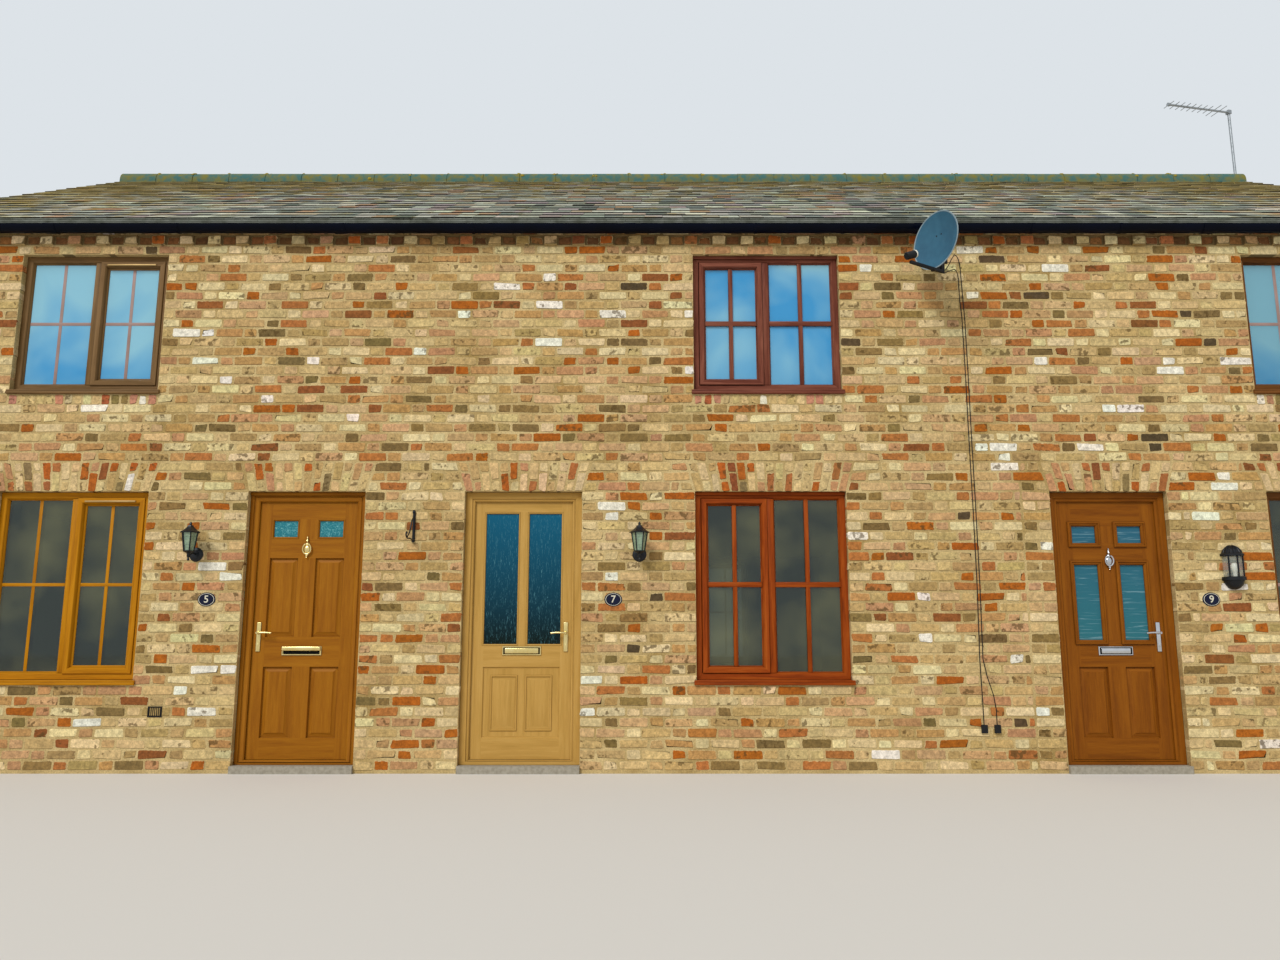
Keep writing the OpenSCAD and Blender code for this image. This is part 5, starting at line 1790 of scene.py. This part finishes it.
    def panel(self, p: Field, side: int) -> None:
        """Adds a raised and fielded panel.

        Args:
            p: Its field on the leaf.
            side: -1 for the street face and 1 for the inner one.
        """
        x, z = self.place(p)
        if self.index != 1:
            steps = mm((0, 0), (2, -14), (6, -18), (9, -18), (36, -2), (38, 0))
            self.sweep(x, z, steps, side, True)
            return
        # The middle door: a beaded infill board, with two raised panels on it
        self.sweep(x, z, mm((0, 0), (2, -2), (7, -9), (14, -10)), side, True)
        raised = mm((0, -10), (3, -3), (10, -3), (14, -9.5), (19, -9.5), (36, -4))
        for a, b in ((0.058, 0.262), (0.319, 0.523)):
            self.sweep((x[0] + a, x[0] + b), (z[0] + 0.05, z[1] - 0.062), raised, side, True)

    def light(self, p: Field, side: int) -> None:
        """Adds the beads of a light, or the raised cassette of the right door's.

        Args:
            p: Its field on the leaf.
            side: -1 for the street face and 1 for the inner one.
        """
        shapes = (
            mm((-14, 0), (-12, 3), (-7, 3), (0, -6), (0, -13)),
            mm((-14, 0), (-13, -2), (-8, 0.5), (-3, -2), (0, -9), (0, -13)),
            mm((-34, 0), (-33, 10), (-27, 16), (-21, 16), (-17, 9), (-8, 9), (0, 0), (1, -13)),
        )
        self.sweep(*self.place(p), shapes[self.index], side)

    def knuckles(self, leaf: bool) -> None:
        """Adds the hinge knuckles.

        Args:
            leaf: Whether they are the leaf's. Otherwise they are the frame's, with the pins.
        """
        x = DOORS[self.index].x - self.hand * (self.leaf_w + 0.007) / 2
        y, third, radius = FRONT + self.in_d + 0.009, 0.1 / 3, self.knuckle_r
        side = self.hand if leaf else -self.hand
        for share in (0.1, 0.5, 0.86):
            z = self.leaf_z + share * self.leaf_h
            for k in (1,) if leaf else (0, 2):
                foot, tall = z + k * third + (0.0003 if k == 2 else 0), third - 0.0004
                self.maker.turned([(0, 0), (radius, 0), (radius, tall), (0, tall)], (x, y, foot), steps=16)
                self.maker.block((x, x + side * 0.0155), (FRONT + self.in_d, y), (foot, foot + tall), 0.0)
            if not leaf:
                pin = mm((0, -2), (4, -2), (4, 102), (0, 102))
                self.maker.turned(pin, (x, y, z), steps=12)

    def frame(self) -> None:
        """Builds the frame."""
        o, width = DOORS[self.index], self.frame_face
        self.maker = Maker(f"{self.title}_frame_joinery", 111 + self.index)
        fronts = (
            mm((28, 50), (32, 58), (39, 58), (43, 52), (66, 55)),
            mm((50, 50), (54, 58), (60, 58), (63, 55), (68, 55)),
            mm((44, 50), (50, 59), (56, 59), (60, 56), (68, 56)),
        )
        shape = [(0.0, 0.122), (0.0, 0.053), (0.003, 0.050), *fronts[self.index], (0.074, 0.062),
                 (0.074, 0.070), (width, 0.070), (width, 0.122)]
        self.maker.ring((o.left, o.right), (STEP_H, HEAD_Z), [(inset, FRONT + deep) for inset, deep in shape],
                        foot=0.030 / width, closed=True)
        if self.index == 0:
            self.maker.block((o.left + 0.001, o.right - 0.001), (FRONT + 0.036, FRONT + 0.052),
                             (HEAD_Z - 0.026, HEAD_Z - 0.001), 0.002, Grain.ACROSS)
        self.knuckles(False)
        self.maker.publish(self.finish, slot=self.slot, replaces=(f"{self.title}_frame",))

    def build(self) -> None:
        """Builds the door."""
        self.frame()
        self.leaf()
        dress(DOOR_GLASS[self.index], f"{self.title}_glass")


@dataclass
class Fittings:
    """Levers, letterbox and knocker of one door."""

    door: Door
    finish: Finish
    slot: str
    letterbox_w: float
    knocker_z: float | None
    lever_z: float = 0.930
    lever_in: float = 0.050
    lever_l: float = 0.110
    lever_r: float = 0.0072
    letterbox_z: float = 0.762
    letterbox_h: float = 0.068
    maker: Maker = field(init=False)

    def lever(self, out: int) -> None:
        """Adds a lever on its long plate.

        Args:
            out: -1 for the street face and 1 for the inner one.
        """
        d, maker, y = self.door, self.maker, self.door.y(out)
        x, z = d.x(d.leaf_w - self.lever_in), d.leaf_z + self.lever_z
        step = math.copysign(1, d.x(d.leaf_w - self.lever_in - self.lever_l) - x)
        facing = (0, out, 0)
        maker.block((x - 0.016, x + 0.016), (y, y + out * 0.008), (z - 0.140, z + 0.080), 0.003, segments=3)
        neck = mm((0, 0), (13, 0), (11, 6), (8.5, 12), (8.5, 40), (0, 40))
        maker.turned(neck, (x, y + out * 0.007, z), facing, 18)
        run = ((0.0, 0.040, 0.0), (0.012, 0.046, 0.0), (0.060, 0.047, 0.002), (self.lever_l, 0.045, -0.002))
        maker.tube([(x + step * across, y + out * off, z + up) for across, off, up in run], self.lever_r, 16)
        keyhole = mm((0, 0), (9, 0), (9, 2), (0, 2))
        maker.turned(keyhole, (x, y + out * 0.008, z - 0.078), facing, 16)
        key_y, key_z = (y + out * 0.008, y + out * 0.0105), (z - 0.106, z - 0.080)
        maker.block((x - 0.004, x + 0.004), key_y, key_z, 0.001)

    def letterbox(self, dark: Maker) -> None:
        """Adds the letterbox: a hood over a mouth of painted shade on the left door, and a flap in a line of
        painted shade on the others.

        Args:
            dark: Piece for the painted shade in the mouth and round the flap.
        """
        d, w, h, maker = self.door, self.letterbox_w, self.letterbox_h, self.maker
        x0, x1 = d.span((d.leaf_w - w) / 2, (d.leaf_w + w) / 2)
        y, z = d.y(-1), d.leaf_z + self.letterbox_z
        rim = mm((0, 0), (0, 5), (3, 8), (8, 8), (10, 4))
        maker.ring((x0, x1), (z, z + h), [(inset, y - out) for inset, out in rim], cap=True)
        if d.index == 0:
            # Painted shade in the mouth under the hood
            dark.block((x0 + 0.012, x1 - 0.012), (y - 0.0055, y - 0.002), (z + 0.010, z + 0.034), 0.001)
            hood = (z + 0.034, z + h)
            maker.block((x0 + 0.002, x1 - 0.002), (y - 0.024, y - 0.004), hood, 0.009, segments=4)
            return
        # Painted shade round the flap
        dark.block((x0 + 0.010, x1 - 0.010), (y - 0.0050, y - 0.002), (z + 0.008, z + h - 0.008), 0.001)
        flap = (z + 0.014, z + h - 0.014)
        maker.block((x0 + 0.020, x1 - 0.020), (y - 0.013, y - 0.004), flap, 0.004, segments=3)

    def knocker(self, top: float) -> None:
        """Adds the urn knocker: rose, finial, urn, oval ring, striker and tail.

        Args:
            top: Height of its rose on the leaf.
        """
        d, turned = self.door, self.maker.turned
        x, y, z = d.x(d.leaf_w / 2), d.y(-1), d.leaf_z + top
        rose = mm((0, 0), (16, 0), (18, 4), (14, 10), (8, 16), (0, 18))
        turned(rose, (x, y, z + 0.022), STREET, 20)
        finial = mm((0, 0), (3, 2), (6, 10), (10, 20), (6, 30), (4, 38), (7, 44), (3, 52), (0, 58))
        turned(finial, (x, y - 0.010, z + 0.030), steps=16)
        urn = mm((0, 0), (12, 2), (21, 16), (24, 34), (19, 52), (8, 60), (0, 62))
        turned(urn, (x, y - 0.009, z - 0.046), steps=20, stretch=(1, 0.42, 1))
        turns = [math.radians(-160 + 20 * k) for k in range(17)]
        ring = [(x + 0.031 * math.sin(t), y - 0.017, z - 0.012 - 0.040 * math.cos(t)) for t in turns]
        self.maker.tube(ring, 0.0052, 12, 3)
        striker = mm((0, 0), (9, 1), (11, 8), (7, 14), (0, 16))
        turned(striker, (x, y - 0.003, z - 0.058), STREET, 18)
        tail = mm((0, 0), (3, -2), (6, -10), (3, -18), (4.5, -22), (0, -26))
        turned(tail, (x, y - 0.014, z - 0.058), steps=14)

    def build(self) -> None:
        """Builds the fittings."""
        d = self.door
        self.maker, dark = Maker(f"{d.title}_furniture", 121 + d.index), Maker(f"{d.title}_letter_slot")
        self.lever(-1)
        self.lever(1)
        self.letterbox(dark)
        if self.knocker_z:
            self.knocker(self.knocker_z)
        self.maker.publish(self.finish, d.body, self.slot, (f"{d.title}_fittings",), 40)
        dark.publish(SLOT_SHADE, d.body)


# Wall fittings


@dataclass
class CoachLantern:
    """A six-sided coach lantern on a turned backplate."""

    x: float
    iron: Maker
    glass: Maker
    z: float = 1.630
    reach: float = 0.130
    foot_r: float = 0.038
    head_r: float = 0.060
    cage_h: float = 0.140
    foot_down: float = 0.006
    ribs: int = 7

    def build(self) -> None:
        """Adds the lantern's parts: plate, arm, foot, corner bars, ribbed glass and roof."""
        x, iron, glass, tall = self.x, self.iron, self.glass, self.cage_h
        at_y, foot = FRONT - self.reach, self.z - self.foot_down
        plate = mm((0, 0), (52, 0), (54, 4), (50, 9), (36, 12), (30, 18), (12, 20), (0, 20))
        iron.turned(plate, (x, FRONT, self.z - 0.020), STREET, 32)
        arm = ((0.010, -0.018), (0.050, -0.012), (0.095, -0.022), (self.reach, -0.040))
        iron.tube([(x, FRONT - out, self.z + up) for out, up in arm], 0.007, 12)
        base = mm((0, -72), (5, -70), (10, -60), (6, -50), (8, -44), (12, -38), (12, -20), (18, -12),
                  (34, -6), (41, -1), (41, 4), (0, 4))
        iron.turned(base, (x, at_y, foot))
        for k in range(6):
            sx, sy = math.cos(math.radians(60 * k)), math.sin(math.radians(60 * k))
            ends = ((self.foot_r, foot), (self.head_r, foot + tall))
            iron.tube([(x + r * sx, at_y + r * sy, z) for r, z in ends], 0.0048, 8, 1)
        cage = [(0, 0.002), (self.foot_r - 0.002, 0.002), (self.head_r - 0.003, tall + 0.002),
                (0, tall + 0.002)]
        glass.turned(cage, (x, at_y, foot), steps=6)
        for step in range(self.ribs):
            share = (step + 0.5) / self.ribs
            r = self.foot_r - 0.002 + (self.head_r - self.foot_r - 0.001) * share
            rib = [(r - 0.004, -0.004), (r + 0.0014, -0.002), (r + 0.0014, 0.002), (r - 0.004, 0.004)]
            glass.turned(rib, (x, at_y, foot + tall * share), steps=6, closed=True)
        roof = mm((0, -2), (64, -2), (76, 0), (77, 6), (66, 10), (54, 18), (36, 34), (24, 46), (21, 55),
                  (12, 57), (8, 62), (11, 68), (8, 76), (3, 82), (0, 85))
        iron.turned(roof, (x, at_y, foot + tall), steps=6)


@dataclass
class HalfLantern:
    """A half-round bulkhead lantern with a ribbed dome, a clear glass and a bulb."""

    x: float
    iron: Maker
    glass: Maker
    bulb: Maker
    z: float = 1.515
    radius: float = 0.0875
    foot: float = 0.069
    low_rim: float = 0.027
    glass_h: float = 0.155
    rim: float = 0.020
    dome: float = 0.069
    bars: int = 3
    dome_ribs: int = 9

    def build(self) -> None:
        """Adds the lantern's parts: foot, dome, glass, bulb, bars and the dome's ribs."""
        x, r, g, tall = self.x, self.radius, 0.86 * self.radius, self.glass_h
        low = self.foot + self.low_rim
        base = self.z - (low + tall + self.rim + self.dome) / 2
        foot = [(0, 0), (0.25 * g, 0.0), (0.62 * g, 0.014), (0.90 * g, 0.040), (g, self.foot - 0.002),
                (r, self.foot), (r, low - 0.003), (r - 0.004, low), (0, low)]
        self.iron.turned(foot, (x, FRONT, base), steps=24, half=True)
        dome = [(0, 0), (r - 0.004, 0), (r, 0.003), (r, 0.016), (r - 0.005, self.rim), (g, 0.026),
                (0.86 * g, 0.048), (0.55 * g, 0.071), (0.2 * g, 0.083), (0, 0.086)]
        self.iron.turned(dome, (x, FRONT, base + low + tall), steps=32, half=True)
        pane = [(g - 0.005, 0), (g - 0.002, 0), (g - 0.002, tall), (g - 0.005, tall)]
        self.glass.turned(pane, (x, FRONT, base + low), steps=24, half=True, closed=True)
        bulb = mm((0, 0), (14, 0), (14, 30), (20, 44), (27, 66), (26, 86), (15, 102), (0, 106))
        self.bulb.turned(bulb, (x, FRONT - 0.4 * g, base + low))
        bar = ((g + 0.001, 0), (g + 0.001, tall))
        curve = ((g + 0.001, 0.026), (0.87 * g, 0.049), (0.56 * g, 0.072), (0.22 * g, 0.084))
        rib = tuple((q, h + tall) for q, h in curve)
        kinds = ((self.bars, bar, 0.0065, 8, 1), (self.dome_ribs, rib, 0.0028, 6, 3))
        for count, run, thick, sides, smooth in kinds:
            for k in range(count):
                t = math.radians(180 + 180 * (k + 1) / (count + 1))
                points = [(x + q * math.cos(t), FRONT + q * math.sin(t), base + low + h) for q, h in run]
                self.iron.tube(points, thick, sides, smooth)


@dataclass
class Dish:
    """The satellite dish: reflector with its rim, arm and feed, on a pole and a wall plate."""

    x: float = 1.850
    z: float = 3.970
    stand_off: float = 0.330
    turn: float = math.radians(-62)
    tilt: float = math.radians(-3)
    ahead: float = 0.090
    radius: float = 0.230
    depth: float = 0.042
    sheet: float = 0.004
    rim_w: float = 0.011
    arm_l: float = 0.300
    pole_r: float = 0.017
    feed_tilt: float = 25.0

    def bowl(self, r: float) -> float:
        """How far the bowl's back lies ahead of its middle at a radius."""
        ball = (self.radius**2 + self.depth**2) / (2 * self.depth)
        return ball - math.sqrt(ball**2 - r**2)

    def build(self) -> None:
        """Builds the dish."""
        x, z, r, pole_y = self.x, self.z, self.radius, FRONT - self.stand_off
        place = (Matrix.Translation((x, pole_y, z)) @ Matrix.Rotation(self.turn, 4, "Z")
                 @ Matrix.Rotation(self.tilt, 4, "X") @ Matrix.Translation((0, -self.ahead, 0)))
        face, rim = Maker("dish_reflector", 141), Maker("dish_rim", 142)
        inside = r - self.rim_w
        radii = [inside * k / 8 for k in range(9)]
        sheet = [(q, self.bowl(q)) for q in radii] + [(q, self.bowl(q) + self.sheet) for q in reversed(radii)]
        face.turned(sheet, axis=STREET, steps=48, place=place)
        edge = [(inside, self.bowl(inside)), (r - 0.002, self.depth - 0.003), (r, self.depth),
                (r - 0.002, self.depth + 0.003), (inside, self.bowl(inside) + self.sheet + 0.001)]
        rim.turned(edge, axis=STREET, steps=48, place=place, closed=True)
        face.publish(DISH_GREY, slot="grey_dish", replaces=("satellite_dish",), angle=40)
        rim.publish(DISH_RIM, slot="grey_dish", angle=40)
        black, cap = Maker("dish_arm_and_feed", 143), Maker("dish_feed_cap", 144)
        black.block((-0.011, 0.011), (-self.arm_l, 0.020), (-r - 0.022, -r), 0.003, place=place)
        black.block((-0.008, 0.008), (0.0, self.ahead), (-0.030, 0.030), 0.002, place=place)
        for y, up in ((0.020, -0.215), (0.050, -0.130)):
            black.block((-0.008, 0.008), (y - 0.012, y + 0.022), (up - 0.037, up + 0.110), 0.002, place=place)
        lean = math.radians(self.feed_tilt)
        along = (0, math.cos(lean), math.sin(lean))
        middle = place @ Matrix.Translation((0, -self.arm_l, 0.042 - r))
        feed = mm((0, -42), (24, -42), (29, -36), (29, 36), (31, 42), (0, 42))
        black.turned(feed, axis=along, place=middle)
        cover = mm((0, 42), (31, 42), (32, 48), (30, 56), (0, 58))
        cap.turned(cover, axis=along, place=middle)
        for side in (-0.024, 0.024):
            bolt = mm((0, 0), (6, 0), (6, 3), (0, 4))
            black.turned(bolt, (side, -0.005, 0.05), STREET, 12, place=place)
        poles = (((x, pole_y, z - 0.080), (0, 0, 1), 0.180), ((x, FRONT, z - 0.060), STREET, self.stand_off))
        for at, axis, long in poles:
            black.turned([(0, 0), (self.pole_r, 0), (self.pole_r, long), (0, long)], at, axis)
        black.block((x - 0.040, x + 0.040), (FRONT - 0.006, FRONT), (z - 0.090, z + 0.030), 0.002)
        black.publish(CABLE, slot="grey_dish", angle=40)
        cap.publish(BULB, slot="grey_dish", angle=40)


@dataclass
class WallFittings:
    """Lanterns, number plates, basket bracket, air brick and cables on the street front."""

    lantern_x: Spot = (-3.900, -0.524, 3.982)
    plates_at: tuple[tuple[float, str], ...] = ((-3.797, "5"), (-0.722, "7"), (3.799, "9"))
    plate_z: float = 1.271
    plate_r: float = 0.0675
    plate_flat: float = 0.778
    numeral_h: float = 0.076
    bracket_x: float = -2.250
    bracket_z: float = 1.950
    bracket_h: float = 0.250
    bracket_reach: float = 0.240
    arm_up: float = 0.020
    air_x: Span = (-4.172, -4.066)

    def lanterns(self) -> None:
        """Builds the lanterns."""
        iron, glass, bulb = Maker("lantern_ironwork", 131), Maker("lantern_glass", 132), Maker("lantern_bulb")
        clear = Maker("half_lantern_glass", 137)
        for x in self.lantern_x[:2]:
            CoachLantern(x, iron, glass).build()
        HalfLantern(self.lantern_x[2], iron, clear, bulb).build()
        iron.publish(IRON, slot="black_iron", replaces=("wall_lanterns",), angle=35)
        glass.publish(LAMP_GLASS, slot="window_glass", angle=35)
        clear.publish(CLEAR_LAMP, slot="window_glass", angle=35)
        bulb.publish(BULB, angle=40)

    def plates(self) -> None:
        """Builds the number plates: a domed oval, a pale line and a numeral."""
        plate, line = Maker("number_plate_ovals", 133), Maker("number_plate_lines", 134)
        r, oval = self.plate_r, (1, self.plate_flat, 1)
        dome = [(0, 0), (r, 0), (r, 0.003), (r - 0.0035, 0.006), (0, 0.008)]
        rim = [(r - 0.012, 0.0068), (r - 0.0085, 0.0064), (r - 0.0085, 0.0074), (r - 0.012, 0.0078)]
        for x, number in self.plates_at:
            plate.turned(dome, (x, FRONT, self.plate_z), STREET, 40, oval)
            line.turned(rim, (x, FRONT, self.plate_z), STREET, 40, oval, closed=True)
            line.numeral(number, self.numeral_h, (x, FRONT - 0.0080, self.plate_z), 0.0018)
        plate.publish(ENAMEL, slot="blue_enamel", replaces=("number_plates",))
        line.publish(ENAMEL_PALE, slot="blue_enamel")

    def bracket(self) -> None:
        """Builds the hanging basket bracket."""
        maker = Maker("basket_bracket_ironwork", 135)
        x, top, tip, back = self.bracket_x, self.bracket_z, self.bracket_reach, FRONT - 0.014
        foot = top - self.bracket_h
        arm_z = foot + self.arm_up
        maker.tube([(x, back, foot + 0.02), (x, back, top - 0.02)], 0.009, 12, 1)
        knob = mm((0, -14), (9, -11), (14, 0), (9, 11), (0, 14))
        for z in (foot + 0.014, top - 0.014):
            maker.turned(knob, (x, back, z), steps=18)
        maker.block((x - 0.011, x + 0.011), (FRONT - 0.006, FRONT), (foot + 0.02, top - 0.02), 0.002)
        arm = ((0.012, 0.0), (0.120, 0.002), (tip - 0.035, -0.002), (tip - 0.010, 0.006),
               (tip - 0.001, 0.020), (tip - 0.008, 0.036), (tip - 0.022, 0.038), (tip - 0.026, 0.028))
        maker.tube([(x, FRONT - out, arm_z + up) for out, up in arm], 0.006, 12)
        tie = ((0.016, top - 0.056), (0.060, top - 0.075), (0.130, arm_z + 0.055), (0.200, arm_z + 0.006))
        maker.tube([(x, FRONT - out, z) for out, z in tie], 0.0055, 10)
        maker.publish(IRON, slot="black_iron", replaces=("basket_bracket",), angle=50)

    def air_brick(self) -> None:
        """Builds the air brick: a frame with upright slots."""
        maker, (x0, x1), z0, z1 = Maker("air_brick_grating", 136), self.air_x, bed(5), bed(6)
        rim = mm((0, 0), (0, 6), (8, 6), (9, 1))
        maker.ring((x0, x1), (z0, z1), [(inset, FRONT - out) for inset, out in rim], cap=True)
        for k in range(7):
            x = x0 + 0.012 + k * 0.0137
            bar_z = (z0 + 0.008, z1 - 0.008)
            maker.block((x - 0.0028, x + 0.0028), (FRONT - 0.0055, FRONT - 0.0005), bar_z, 0.0008)
        maker.publish(AIR_IRON, slot="black_iron", replaces=("air_brick",))

    def build(self) -> None:
        """Builds all of them."""
        self.lanterns()
        self.plates()
        self.bracket()
        self.air_brick()
        dress(CABLE, "dish_cables")
        dress(ALUMINIUM, "tv_aerial")


@dataclass
class Studio:
    """Pale floor, soft light and the camera at the photograph's place."""

    camera_at: Spot = (-0.52, -10.967, 0.96)
    pitch_up: float = 9.52
    lens: float = 27.03
    floor: str = "#D9D6CF"
    backdrop: str = "#DDE3E8"
    fill: float = 0.52
    key: float = 2.1

    def world(self) -> bpy.types.World:
        """An even white light that shows as the pale backdrop where it is seen."""
        world = bpy.data.worlds.new("studio")
        s = Shade(world)
        path = s.add("LightPath").node.outputs
        seen = path["Is Camera Ray"]
        for ray in ("Is Glossy Ray", "Is Transmission Ray"):
            seen = s.add("Math", seen, path[ray], operation="MAXIMUM")
        light = s.add("Background", "#FFFFFF", self.fill)
        s.add("OutputWorld", s.add("MixShader", seen, light, s.add("Background", self.backdrop)))
        return world

    def build(self) -> None:
        """Builds the floor, the lights and the camera."""
        scene = bpy.context.scene
        mesh = bpy.data.meshes.new("studio_floor")
        part = bmesh.new()
        bmesh.ops.create_grid(part, x_segments=1, y_segments=1, size=60.0)
        part.to_mesh(mesh)
        part.free()
        mesh.materials.append(Plain("studio_floor", self.floor, self.floor, 0.9, level=0.1).material())
        floor = bpy.data.objects.new("studio_floor", mesh)
        sun = bpy.data.lights.new("studio_key", "SUN")
        sun.energy, sun.angle = self.key, math.radians(24)
        lamp = bpy.data.objects.new("studio_key", sun)
        lamp.rotation_euler = (math.radians(48), 0, math.radians(-28))
        data = bpy.data.cameras.new("studio_camera")
        data.lens, data.sensor_width, data.clip_end = self.lens, 36.0, 500.0
        camera = bpy.data.objects.new("studio_camera", data)
        camera.location = self.camera_at
        camera.rotation_euler = (math.radians(90 + self.pitch_up), 0, 0)
        for staged in (floor, lamp, camera):
            scene.collection.objects.link(staged)
        scene.world, scene.camera = self.world(), camera
        scene.view_settings.view_transform = "Standard"


def main() -> None:
    """Builds the looks, piece by piece."""
    logging.basicConfig(level=logging.INFO, format="%(name)s %(message)s")
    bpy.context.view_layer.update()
    dress(MORTAR, "front_wall_left_bay", "front_wall_pier", "front_wall_middle_bay", "front_wall_right_bay",
          "walls_over_doors", "rear_wall", "left_gable_wall", "right_gable_wall", "party_walls",
          "flat_arches", "eaves_bands")
    dress(CONCRETE, "ground_floor_slab", "door_steps")
    dress(FLOORBOARD, "first_floor")
    dress(BATTEN, "front_roof_slope", "rear_roof_slope")
    dress(GUTTER, "gutters", "downpipes")
    dress(BROWN_OAK, "rear_doors")
    WallFace("front_bricks", (0, FRONT, 0), (1, 0, 0), HALF_ROW, template=FINE_BRICK, seed=1).build()
    WallFace("rear_bricks", (0, -FRONT, 0), (-1, 0, 0), HALF_ROW, sign=-1, seed=2).build()
    WallFace("left_gable_bricks", (-HALF_ROW, 0, 0), (0, -1, 0), -FRONT, -1, False, seed=3, odd=1).build()
    WallFace("right_gable_bricks", (HALF_ROW, 0, 0), (0, 1, 0), -FRONT, openings=False, seed=4).build()
    SlateRoof().build()
    Rainwater().build()
    Windows().build()
    doors = (
        Door(0, "left_door", Body.LEFT_DOOR, -1, GOLDEN_OAK, "golden_oak", 0.116, 0.170),
        Door(1, "middle_door", Body.MIDDLE_DOOR, 1, PALE_OAK, "pale_oak", 0.092, 0.084),
        Door(2, "right_door", Body.RIGHT_DOOR, 1, BROWN_OAK, "brown_oak", 0.116, 0.170),
    )
    fittings = (
        (BRASS, "polished_brass", 0.300, 1.580),
        (BRASS, "polished_brass", 0.295, None),
        (CHROME, "bright_chrome", 0.260, 1.490),
    )
    for door, (finish, slot, width, knocker_z) in zip(doors, fittings):
        door.build()
        Fittings(door, finish, slot, width, knocker_z).build()
    WallFittings().build()
    Dish().build()
    Studio().build()


if __name__ == "__main__":
    main()
